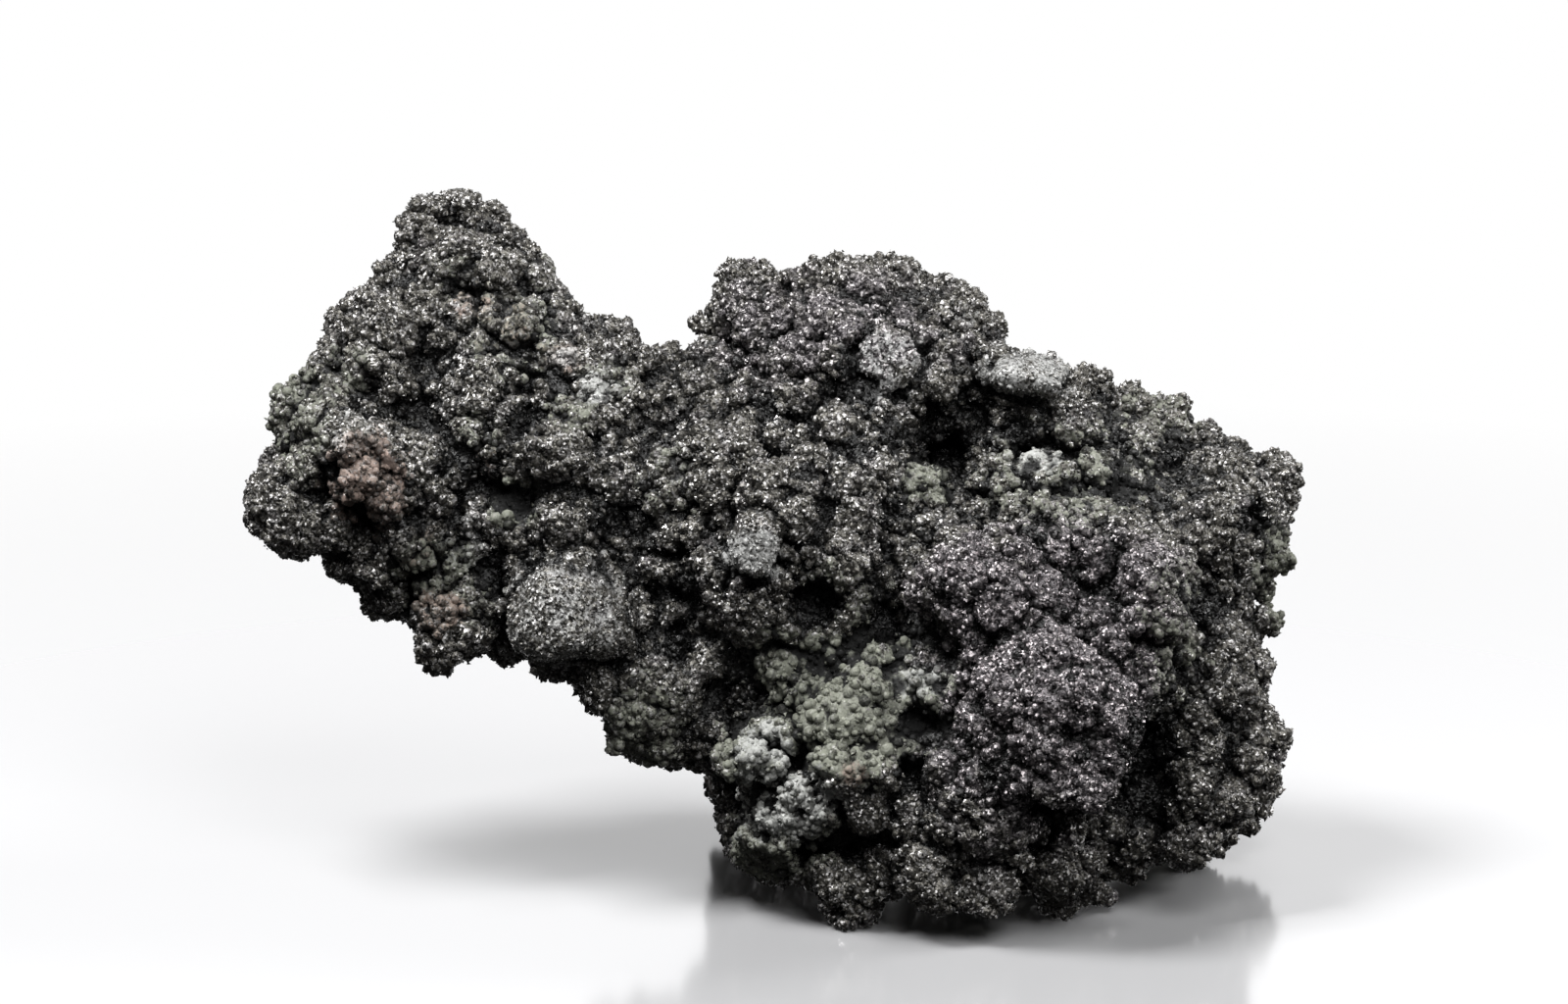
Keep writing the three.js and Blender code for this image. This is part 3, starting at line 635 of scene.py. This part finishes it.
def badEdges(thing):
    # how many edges don't have two sides
    count = np.zeros(len(thing.data.edges), dtype=int)
    edges = np.empty(len(thing.data.loops), dtype=np.int32)
    thing.data.loops.foreach_get("edge_index", edges)
    np.add.at(count, edges, 1)
    return int((count != 2).sum())


# The grown body is cut into pieces that stay light enough: three of the best side, and a plainer far one.
crustPieces = {
    "rearFrom": 6,  # millimetres behind the middle
    "leftTo": -14,
    "rightFrom": 17.6,
    "low": (-70, -50, -10),
    "high": (70, 50, 90),
    "rearShare": 0.55,
    "boxCuts": 40,
    "cutTolerance": 0.0001 * millimetre,
    "mendTurns": 4,
}


def mend(thing):
    # the few spots where the remesh lets the skin touch itself are cut out and closed flat
    pick(thing)
    bpy.ops.object.mode_set(mode="EDIT")
    for turn in range(crustPieces["mendTurns"]):
        bpy.ops.mesh.select_mode(type="VERT")
        bpy.ops.mesh.select_all(action="DESELECT")
        bpy.ops.mesh.select_non_manifold()
        bpy.ops.object.mode_set(mode="OBJECT")
        chosen = np.empty(len(thing.data.vertices), dtype=bool)
        thing.data.vertices.foreach_get("select", chosen)
        bpy.ops.object.mode_set(mode="EDIT")
        if not chosen.any():
            break
        bpy.ops.mesh.select_more()
        bpy.ops.mesh.delete(type="VERT")
        bpy.ops.mesh.select_all(action="SELECT")
        bpy.ops.mesh.fill_holes(sides=0)
        bpy.ops.mesh.select_all(action="SELECT")
        bpy.ops.mesh.delete_loose()
    bpy.ops.object.mode_set(mode="OBJECT")
    applyModifier(thing, "TRIANGULATE")
    print("mended in", turn, "turns,", badEdges(thing), "bad edges")


def griddedBox(low, high):
    # a box of small squares, so that no cut face reaches over a notch
    deselectAll()
    bpy.ops.mesh.primitive_cube_add(size=1)
    box = bpy.context.object
    bpy.ops.object.mode_set(mode="EDIT")
    bpy.ops.mesh.select_all(action="SELECT")
    bpy.ops.mesh.subdivide(number_cuts=crustPieces["boxCuts"])
    bpy.ops.object.mode_set(mode="OBJECT")
    corners = arraysOf(box)[0]
    box.data.vertices.foreach_set("co", (low + (corners + 0.5) * (high - low)).ravel())
    box.data.update()
    return box


def partOf(thing, name, low, high, keptShare=1.0):
    # the part of a closed mesh inside a box, closed again at its sides
    low, high = np.array(low) * millimetre, np.array(high) * millimetre
    box = griddedBox(low, high)
    part = thing.copy()
    part.data = thing.data.copy()
    part.name = part.data.name = name
    bpy.context.collection.objects.link(part)
    applyModifier(part, "BOOLEAN", object=box, operation="INTERSECT", solver="MANIFOLD")
    bpy.data.objects.remove(box, do_unlink=True)
    applyModifier(part, "TRIANGULATE")
    if keptShare < 1:
        applyModifier(part, "DECIMATE", ratio=keptShare)
    # the cut faces stay flat, so that the skin's shading runs on over the cut
    mesh = part.data
    middles = np.empty(len(mesh.polygons) * 3)
    mesh.polygons.foreach_get("center", middles)
    middles = middles.reshape(-1, 3)
    fromSides = np.minimum(np.abs(middles - low), np.abs(middles - high))
    cut = (fromSides < crustPieces["cutTolerance"]).any(axis=1)
    mesh.polygons.foreach_set("use_smooth", ~cut)
    mesh.update()
    print(name, len(mesh.polygons), "triangles,", badEdges(part), "bad edges")
    return part


# where the colours lie

# How much painted shade each place gets, from its hollows, the gaps and the shaded places: 0 on the crowns, 1
# deep in the gaps.
paintedShade = {
    "everywhere": 0.33,
    # per millimetre that a place is hollow, felt over pits, knobs and lobes
    "feels": (1.2, 2.4, 7.0),
    "pits": 1.9,
    "knobs": 0.40,
    "lobes": 0.28,
    "gaps": 0.7,
}

# The patches of the far side come from noise: size and shift, the edge it passes, how soft, and how strong.
farPatches = {
    "green": (9.0, 23.0, 0.12, 0.2, 0.9),
    "rust": (6.0, 41.0, 0.38, 0.15, 0.8),
    "warm": (14.0, 57.0, 0, 0.3, 1),
}
patchEdge = {
    "farFrom": 4,  # the depth in millimetres at which those of the far side start
    "farOver": 6,
    "raggedNoise": (2.2, 1.7),  # so that no patch has a smooth edge
    "ragged": 0.35,
}
skinSamples = 400000  # points on the skin from which the hollow fields are made
shadeNoise = (1.3, 5.0)


def paintedShadeMark(places, leans):
    # painted shade: how dark each place is painted, darkest in the hollows, the gaps and the shaded places
    pits, knobs, broad = (hollowAt(field, places, leans) for field in skinFields)
    sheet = toSheet(places)
    dark = np.zeros(len(places))
    for form in shaded:
        dark = np.maximum(dark, ellipseShare(sheet, form) * form[4] * (sheet[:, 2] < formReach["shaded"]))
    dark = dark + paintedShade["everywhere"] + paintedShade["pits"] * pits + paintedShade["knobs"] * knobs
    return np.clip(dark + paintedShade["lobes"] * broad + paintedShade["gaps"] * gapShare(places), 0, 1)


def patchMarks(places):
    sheet = toSheet(places)
    ragged = noiseAt(places, *patchEdge["raggedNoise"]) * patchEdge["ragged"]
    marks = {}
    for name, group in patches.items():
        amount = np.zeros(len(places))
        for patch, depth in zip(group, patchDepths[name]):
            near = np.clip((depth + formReach["patch"] - sheet[:, 2]) / formReach["patchFade"], 0, 1)
            amount = np.maximum(amount, ellipseShare(sheet, patch, ragged) * near * patch[4])
        marks[name] = amount
    far = np.clip((sheet[:, 2] - patchEdge["farFrom"]) / patchEdge["farOver"], 0, 1)
    for name, (size, shift, edge, soft, strength) in farPatches.items():
        amount = np.clip((noiseAt(places, size, shift) - edge) / soft, 0, strength)
        marks[name] = np.maximum(marks[name], far * amount)
    return marks


# finishes

class Term:
    # a socket that takes part in sums

    def __init__(self, maker, socket):
        self.maker = maker
        self.socket = socket

    def sum(self, operation, *others):
        return self.maker.node("ShaderNodeMath", {"operation": operation}, dict(enumerate([self, *others])))

    def __add__(self, other):
        return self.sum("ADD", other)

    def __mul__(self, other):
        return self.sum("MULTIPLY", other)

    def __sub__(self, other):
        return self.sum("SUBTRACT", other)

    def __rsub__(self, other):
        return self.maker.node("ShaderNodeMath", {"operation": "SUBTRACT"}, {0: other, 1: self})

    def above(self, edge, width):
        # 0 at the edge, 1 a width above it, or below it where the width is negative
        return self.maker.node("ShaderNodeMapRange", {"clamp": True}, {
            "Value": self, "From Min": edge, "From Max": edge + width, "To Min": 0.0, "To Max": 1.0})

    __radd__ = __add__
    __rmul__ = __mul__


class NodeMaker:
    # makes and links the nodes of one tree

    def __init__(self, tree):
        self.tree = tree
        self.tree.nodes.clear()

    def node(self, kind, settings=None, sockets=None, out=0):
        made = self.tree.nodes.new(kind)
        for name, value in (settings or {}).items():
            setattr(made, name, value)
        for name, value in (sockets or {}).items():
            if isinstance(value, Term):
                self.tree.links.new(value.socket, made.inputs[name])
            else:
                made.inputs[name].default_value = value
        return Term(self, made.outputs[out]) if made.outputs else None

    def mixNumbers(self, share, low, high):
        return self.node("ShaderNodeMix", {"data_type": "FLOAT"}, {0: share, 2: low, 3: high})


class Finish(NodeMaker):
    # a material and its nodes

    def __init__(self, name):
        self.material = bpy.data.materials.new(name)
        self.material.use_nodes = True
        super().__init__(self.material.node_tree)

    def attribute(self, name):
        return self.node("ShaderNodeAttribute", {"attribute_name": name}, out="Fac")

    def mix(self, share, low, high):
        return self.node("ShaderNodeMix", {"data_type": "RGBA"}, {0: share, 6: low, 7: high}, out=2)

    def vectors(self, operation, *vectors, scale=None, out=0):
        sockets = dict(enumerate(vectors))
        if scale is not None:
            sockets["Scale"] = scale
        return self.node("ShaderNodeVectorMath", {"operation": operation}, sockets, out)


crystalLook = {
    "cellsPerMillimetre": 4.2,
    # waves in a millimetre of the noises that part the patches, the grains and the single specks
    "broadScale": 0.35,
    "grainScale": 1.1,
    "fineScale": 4.0,
    "darkCrystal": (0.0035, 0.0033, 0.0032, 1),
    "oliveCrystal": (0.098, 0.093, 0.083, 1),
    "violetCrystal": (0.100, 0.092, 0.096, 1),
    # the bright crystals, and their warm kind below: brighter silver crystals, and in part painted glints
    "brightCrystalGlint": (0.46, 0.45, 0.445, 1),
    "warmCrystal": (0.46, 0.42, 0.43, 1),
    # where each look starts, and how much further it is full
    "brightFrom": (0.88, 0.10),
    "middleFrom": (0.28, 0.5),
    "tintFrom": (0.38, 0.14),
    "greenFrom": (0.34, 0.3),
    "rustFrom": (0.40, 0.5),
    "paleFrom": (0.40, 0.4),
    "lightFrom": (1.06, 0.5),
    # where the painted shade of the gaps and hollows starts
    "paintedShadeFrom": (0.21, 0.24),
    "gleamFrom": (0.84, 0.03),
    # how much of the crystals each dust hides
    "greenCover": 0.85,
    "rustCover": 0.85,
    "paleCover": 0.7,
    "metal": 0.62,
    "specular": 0.35,
    "roughLow": 0.22,
    "roughHigh": 0.50,
    "roughDust": 0.85,
    "bumpStrength": 0.9,
    "bumpHeight": 0.12 * millimetre,
    # how far the crystals lean out of the skin
    "crustTilt": 0.45,
    "grainTilt": 0.3,
    # painted shade: the near black painted deep in the gaps and hollows, and how much of the colour it covers
    "paintedShadeColour": (0.003, 0.003, 0.003, 1),
    "gapShare": 0.93,
    "greenDark": (0.0065, 0.0072, 0.0058, 1),
    "greenLight": (0.190, 0.198, 0.160, 1),
    "rustDark": (0.018, 0.014, 0.012, 1),
    "rustLight": (0.26, 0.195, 0.165, 1),
    "paleDark": (0.030, 0.031, 0.031, 1),
    "paleLight": (0.42, 0.424, 0.416, 1),
}


def crystalFinish(name, tilt):
    # silver crystals, each a cell with its own tone and tilt, under dust of three colours, with painted shade
    # in the hollows and gaps and painted light on the crowns
    finish = Finish(name)
    look = crystalLook
    place = finish.node("ShaderNodeTexCoord", out="Object")
    inMillimetres = finish.vectors("SCALE", place, scale=1 / millimetre)
    cell = {"Vector": inMillimetres, "Scale": look["cellsPerMillimetre"]}
    cellColour = finish.node("ShaderNodeTexVoronoi", {"feature": "F1"}, cell, out="Color")
    parts = [finish.node("ShaderNodeSeparateColor", {}, {0: cellColour}, out=i) for i in range(3)]
    broad, grain, fine = (
        finish.node("ShaderNodeTexNoise", {}, {"Vector": inMillimetres, "Scale": scale, "Detail": detail})
        for scale, detail in ((look["broadScale"], 3.0), (look["grainScale"], 4.0), (look["fineScale"], 3.0))
    )

    # dust lies in ragged patches whose edges follow the grain, and thins out to single specks
    ragged = (grain - 0.5) * 1.1 + (broad - 0.5) * 0.9 + (parts[2] - 0.5) * 0.35
    green = (finish.attribute("green") * 0.8 + ragged).above(*look["greenFrom"])
    rust = (finish.attribute("rust") * 0.9 + ragged * 1.2).above(*look["rustFrom"])
    pale = (finish.attribute("pale") * 0.8 + ragged * 1.2).above(*look["paleFrom"])
    warm = finish.attribute("warm")
    shade = finish.attribute("shade")
    # the hollow mark brings painted shade, and the crown painted light
    hollow = finish.attribute("hollow")
    crown = 1 - hollow

    # bright cells: brighter crystals and in part painted glints, more of them on the crowns as painted light
    bright = (parts[0] + crown * 0.16 + (broad - 0.5) * 0.25).above(*look["brightFrom"])
    # the crystals' tone is lighter on the crowns and darker in the hollows: painted light and painted shade
    middle = (parts[1] * 0.55 + fine * 0.5 + (crown - 0.5) * 0.8).above(*look["middleFrom"])
    tint = (broad * 0.7 + warm * 0.25).above(*look["tintFrom"])
    middleCrystal = finish.mix(tint, look["oliveCrystal"], look["violetCrystal"])
    crystal = finish.mix(middle, look["darkCrystal"], middleCrystal)
    crystal = finish.mix(bright, crystal, finish.mix(warm, look["brightCrystalGlint"], look["warmCrystal"]))
    # the dust's tone varies at random, and is lighter on the crowns, where it is painted light
    light = (shade * 0.5 + fine * 0.9 + crown * 0.9).above(*look["lightFrom"])
    greenDust = finish.mix(light, look["greenDark"], look["greenLight"])
    rustDust = finish.mix(light, look["rustDark"], look["rustLight"])
    paleDust = finish.mix(light, look["paleDark"], look["paleLight"])

    colour = finish.mix(green * look["greenCover"], crystal, greenDust)
    colour = finish.mix(rust * look["rustCover"], colour, rustDust)
    colour = finish.mix(pale * look["paleCover"], colour, paleDust)
    # painted shade: deep in the gaps and hollows everything is painted nearly black
    deep = hollow.above(*look["paintedShadeFrom"])
    colour = finish.mix(deep * look["gapShare"], colour, look["paintedShadeColour"])
    dusty = (green * 0.9).sum("MAXIMUM", rust * 0.8).sum("MAXIMUM", pale * 0.6)
    # a few crystals gleam even where dust lies
    gleam = 1 - dusty * (1 - parts[1].above(*look["gleamFrom"]) * 0.8)

    tiltBack = finish.vectors("SUBTRACT", cellColour, (0.5, 0.5, 0.5))
    tilted = finish.vectors("SCALE", tiltBack, scale=gleam * (2 * tilt))
    facing = finish.node("ShaderNodeNewGeometry", out="Normal")
    bent = finish.vectors("NORMALIZE", finish.vectors("ADD", facing, tilted))
    bumpy = finish.node("ShaderNodeBump", {}, {
        "Strength": look["bumpStrength"], "Distance": look["bumpHeight"], "Height": fine, "Normal": bent})

    crystalRough = finish.mixNumbers(parts[2], look["roughLow"], look["roughHigh"])
    rough = finish.mixNumbers(gleam, look["roughDust"], crystalRough)
    metal = gleam * (1 - deep) * look["metal"]
    surface = finish.node("ShaderNodeBsdfPrincipled", {}, {
        "Base Color": colour, "Metallic": metal, "Roughness": rough, "Normal": bumpy,
        "Specular IOR Level": look["specular"]})
    finish.node("ShaderNodeOutputMaterial", {}, {"Surface": surface})
    return finish.material


crustFinish = crystalFinish("rheniite_crust", crystalLook["crustTilt"])
grainFinish = crystalFinish("rheniite_grains", crystalLook["grainTilt"])

mend(crust)
crust = keepLargestPart(crust)
rear, left, right = crustPieces["rearFrom"], crustPieces["leftTo"], crustPieces["rightFrom"]
(lowX, lowY, lowZ), (highX, highY, highZ) = crustPieces["low"], crustPieces["high"]
crustParts = [
    partOf(crust, "crust_left", (lowX, lowY, lowZ), (left, rear, highZ)),
    partOf(crust, "crust_middle", (left, lowY, lowZ), (right, rear, highZ)),
    partOf(crust, "crust_right", (right, lowY, lowZ), (highX, rear, highZ)),
    partOf(crust, "crust_rear", (lowX, rear, lowZ), (highX, highY, highZ), crustPieces["rearShare"]),
]
crustArrays = arraysOf(crust)
bpy.data.objects.remove(crust, do_unlink=True)
skinPoints = scatter(*crustArrays, skinSamples)[0]
skinFields = [hollowField(skinPoints, feel) for feel in paintedShade["feels"]]
for part in crustParts:
    corners, sides, normals = arraysOf(part)
    marks = patchMarks(corners)
    marks["shade"] = 0.5 + 0.5 * noiseAt(corners, *shadeNoise)
    # the hollow mark is painted shade, and on the crowns painted light
    marks["hollow"] = paintedShadeMark(corners, normals)
    mark(part, marks)
    part.data.materials.clear()
    part.data.materials.append(crustFinish)
    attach(part, "root")
    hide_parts("rheniite_crust")


# small knobs and grains

# Depths, in millimetres, part the best side ("front") from the far one, which gets fewer pieces.
smallKnobs = {
    "tries": 130000,
    "gap": 0.85 * millimetre,
    "radius": (0.32 * millimetre, 0.74 * millimetre),
    "sizePower": 1.6,
    "sink": 0.1,  # of the radius
    "most": 8200,
    "calmBelow": 0.5,
    "hollowBelow": 0.05,
    "hollowSwing": 0.3,
    "hollowNoise": (4.0, 91.0),
    "frontTo": 4,
    "frontLead": 0.6,
    "rough": 0.09,
    "stretch": (0.85, 1.15),
}

grains = {
    "tries": 200000,
    "gap": 0.62 * millimetre,
    "radius": (0.20 * millimetre, 0.38 * millimetre),
    "sizePower": 1.4,
    "lift": 0.1,  # of the radius
    "most": 10400,
    "hollowBelow": 0.35,
    "frontTo": 8,
    "farShare": 0.2,
}

crystals = {
    "onCrust": 82000,
    "onKnobs": 46000,
    "radius": (0.10 * millimetre, 0.24 * millimetre),
    "sizePower": 1.6,
    "lift": 0.2,  # of the radius
    "frontTo": 10,
    "farShare": 0.25,
    "farScale": 1.5,
    "outward": -0.25,  # how far round a knob they go: 1 only at its crown, -1 all over
    "dustAbove": 0.35,
    "dustyShare": 0.2,
}

smallPieces = {"rough": 0.1, "stretch": (0.8, 1.25), "grain": (1.0, 1.0, 1.0), "crystal": (1.3, 1.3, 0.8)}


def addPiece(name, shape, places, leans, sizes, rough, smooth, finish):
    corners, sides = copiesOf(shape, places, sizes, rough)
    corners = within(corners, 0.0)
    smoothSides = np.repeat(smooth, len(shape[1]))
    thing = meshOf(name, corners, sides, smoothSides)
    marks = patchMarks(places)
    marks["shade"] = chance.random(len(places))
    # the hollow mark is painted shade, and on the crowns painted light
    marks["hollow"] = paintedShadeMark(places, leans)
    mark(thing, {key: np.repeat(values, len(shape[0])) for key, values in marks.items()})
    thing.data.materials.append(finish)
    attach(thing, "root")
    print(name, len(places), "copies,", len(sides), "triangles")
    return thing


def growSmallKnobs():
    places, leans = scatter(*crustArrays, smallKnobs["tries"])
    hollow = hollowAt(skinFields[1], places, leans)
    wanted = calmShare(places) < smallKnobs["calmBelow"]
    swing = smallKnobs["hollowSwing"] * noiseAt(places, *smallKnobs["hollowNoise"])
    wanted &= hollow < smallKnobs["hollowBelow"] + swing
    places, leans = places[wanted], leans[wanted]
    kept = spaced(places, smallKnobs["gap"])
    places, leans = places[kept], leans[kept]
    front = toSheet(places)[:, 2] < smallKnobs["frontTo"]
    order = np.argsort(chance.random(len(places)) + np.where(front, 0, smallKnobs["frontLead"]))
    chosen = order[: smallKnobs["most"]]
    places, leans = places[chosen], leans[chosen]
    low, high = smallKnobs["radius"]
    radius = low + (high - low) * chance.random(len(places)) ** smallKnobs["sizePower"]
    places = within(places - leans * (smallKnobs["sink"] * radius)[:, None], radius * 1.1)
    return places, leans, radius


knobPlaces, knobLeans, knobRadius = growSmallKnobs()
knobOrder = np.argsort(knobPlaces[:, 0])
for side, part in zip(("left", "right"), np.array_split(knobOrder, 2)):
    sizes = knobRadius[part, None] * chance.uniform(*smallKnobs["stretch"], (len(part), 3))
    addPiece(
        "small_knobs_" + side, ball48, knobPlaces[part], knobLeans[part], sizes,
        smallKnobs["rough"], np.ones(len(part), dtype=bool), crustFinish)


def growGrains():
    places, leans = scatter(*crustArrays, grains["tries"])
    front = toSheet(places)[:, 2] < grains["frontTo"]
    wanted = hollowAt(skinFields[1], places, leans) < grains["hollowBelow"]
    wanted &= front | (chance.random(len(places)) < grains["farShare"])
    places, leans = places[wanted], leans[wanted]
    kept = spaced(places, grains["gap"])[: grains["most"]]
    low, high = grains["radius"]
    radius = low + (high - low) * chance.random(len(kept)) ** grains["sizePower"]
    places = within(places[kept] + leans[kept] * (grains["lift"] * radius)[:, None], radius * 1.2)
    return places, leans[kept], radius


def growCrystals():
    # on the crust and on the small knobs
    onCrust, crustLeans = scatter(*crustArrays, crystals["onCrust"] * 2)
    front = toSheet(onCrust)[:, 2] < crystals["frontTo"]
    kept = np.flatnonzero(front | (chance.random(len(front)) < crystals["farShare"]))[: crystals["onCrust"]]
    directions = chance.normal(size=(crystals["onKnobs"], 3))
    directions /= np.linalg.norm(directions, axis=1, keepdims=True)
    hosts = chance.choice(len(knobPlaces), len(directions), p=knobRadius**2 / (knobRadius**2).sum())
    outward = (directions * knobLeans[hosts]).sum(axis=1) > crystals["outward"]
    onKnobs = (knobPlaces[hosts] + directions * (knobRadius[hosts] * 0.98)[:, None])[outward]
    places = np.concatenate([onCrust[kept], onKnobs])
    leans = np.concatenate([crustLeans[kept], directions[outward]])
    low, high = crystals["radius"]
    radius = low + (high - low) * chance.random(len(places)) ** crystals["sizePower"]
    radius *= np.where(toSheet(places)[:, 2] < crystals["frontTo"], 1, crystals["farScale"])
    places = within(places + leans * (crystals["lift"] * radius)[:, None], radius * 1.4)
    marks = patchMarks(places)
    dusty = np.maximum(marks["green"], marks["rust"]) > crystals["dustAbove"]
    bare = ~dusty | (chance.random(len(places)) < crystals["dustyShare"])
    return places[bare], leans[bare], radius[bare]


for name, shape, (places, leans, radius), proportions, smooth in (
    ("crust_grains", ball20, growGrains(), smallPieces["grain"], True),
    ("crystals", shard4, growCrystals(), smallPieces["crystal"], False),
):
    for side, part in zip(("left", "right"), np.array_split(np.argsort(places[:, 0]), 2)):
        stretch = chance.uniform(*smallPieces["stretch"], (len(part), 3))
        sizes = radius[part, None] * np.array(proportions) * stretch
        addPiece(
            name + "_" + side, shape, places[part], leans[part], sizes,
            smallPieces["rough"], np.full(len(part), smooth), grainFinish)


# floor, world and lights

studio = {
    "floorRadius": 0.9,
    "floorCorners": 96,
    "floorFade": (0.10, 0.27),  # from the middle of the floor, where it starts to fade out and where it is gone
    "floorColour": (0.66, 0.66, 0.67, 1),
    "floorMirror": 0.48,
    "floorRough": 0.14,
    "worldLight": 0.04,
    # a band of pale paper low behind: its strength, and where it starts and is full, upward and backward
    "paper": 0.95,
    "paperUp": (0.44, 0.32),
    "paperBack": (0.76, 0.88),
    "white": (1, 1, 1, 1),
    "aim": (0, 0, 0.03),
    "lights": [
        # name, place, size, watts
        ("key", (-0.27, -0.16, 0.66), 0.24, 8.2),
        ("fill", (0.16, -0.42, 0.48), 0.32, 3.4),
        ("side", (0.45, 0.05, 0.25), 0.15, 1.8),
    ],
}


def fromTo(term, start, end):
    return term.above(start, end - start)


deselectAll()
bpy.ops.mesh.primitive_circle_add(
    vertices=studio["floorCorners"], radius=studio["floorRadius"], fill_type="NGON")
floor = bpy.context.object
floor.name = "floor"
floorFinish = Finish("pale_floor")
away = floorFinish.vectors("LENGTH", floorFinish.node("ShaderNodeTexCoord", out="Object"), out="Value")
floorSurface = floorFinish.node("ShaderNodeBsdfPrincipled", {}, {
    "Base Color": studio["floorColour"], "Metallic": studio["floorMirror"],
    "Roughness": studio["floorRough"], "Alpha": 1 - fromTo(away, *studio["floorFade"])})
floorFinish.node("ShaderNodeOutputMaterial", {}, {"Surface": floorSurface})
floor.data.materials.append(floorFinish.material)
floor.visible_diffuse = False  # its pale light would fill the gaps of the crust
floor.visible_glossy = False

# white to the eye, dim on the crust, and the band of paper for the floor to mirror
world = bpy.data.worlds.new("studio")
bpy.context.scene.world = world
world.use_nodes = True
sky = NodeMaker(world.node_tree)
direction = sky.node("ShaderNodeTexCoord", out="Generated")
upward = sky.node("ShaderNodeSeparateXYZ", {}, {0: direction}, out="Z")
backward = sky.node("ShaderNodeSeparateXYZ", {}, {0: direction}, out="Y")
paper = fromTo(upward, *studio["paperUp"]) * fromTo(backward, *studio["paperBack"])
strength = sky.mixNumbers(paper, studio["worldLight"], studio["paper"])
lit = sky.node("ShaderNodeBackground", {}, {"Color": studio["white"], "Strength": strength})
seen = sky.node("ShaderNodeBackground", {}, {"Color": studio["white"]})
toEye = sky.node("ShaderNodeLightPath", out="Is Camera Ray")
either = sky.node("ShaderNodeMixShader", {}, {0: toEye, 1: lit, 2: seen})
sky.node("ShaderNodeOutputWorld", {}, {"Surface": either})

for name, place, size, watts in studio["lights"]:
    lampData = bpy.data.lights.new(name, "AREA")
    lampData.size = size
    lampData.energy = watts
    lamp = bpy.data.objects.new(name, lampData)
    lamp.location = place
    lamp.rotation_euler = (Vector(studio["aim"]) - Vector(place)).to_track_quat("-Z", "Y").to_euler()
    bpy.context.collection.objects.link(lamp)

bpy.context.scene.view_settings.view_transform = "Standard"
print("studio: done")
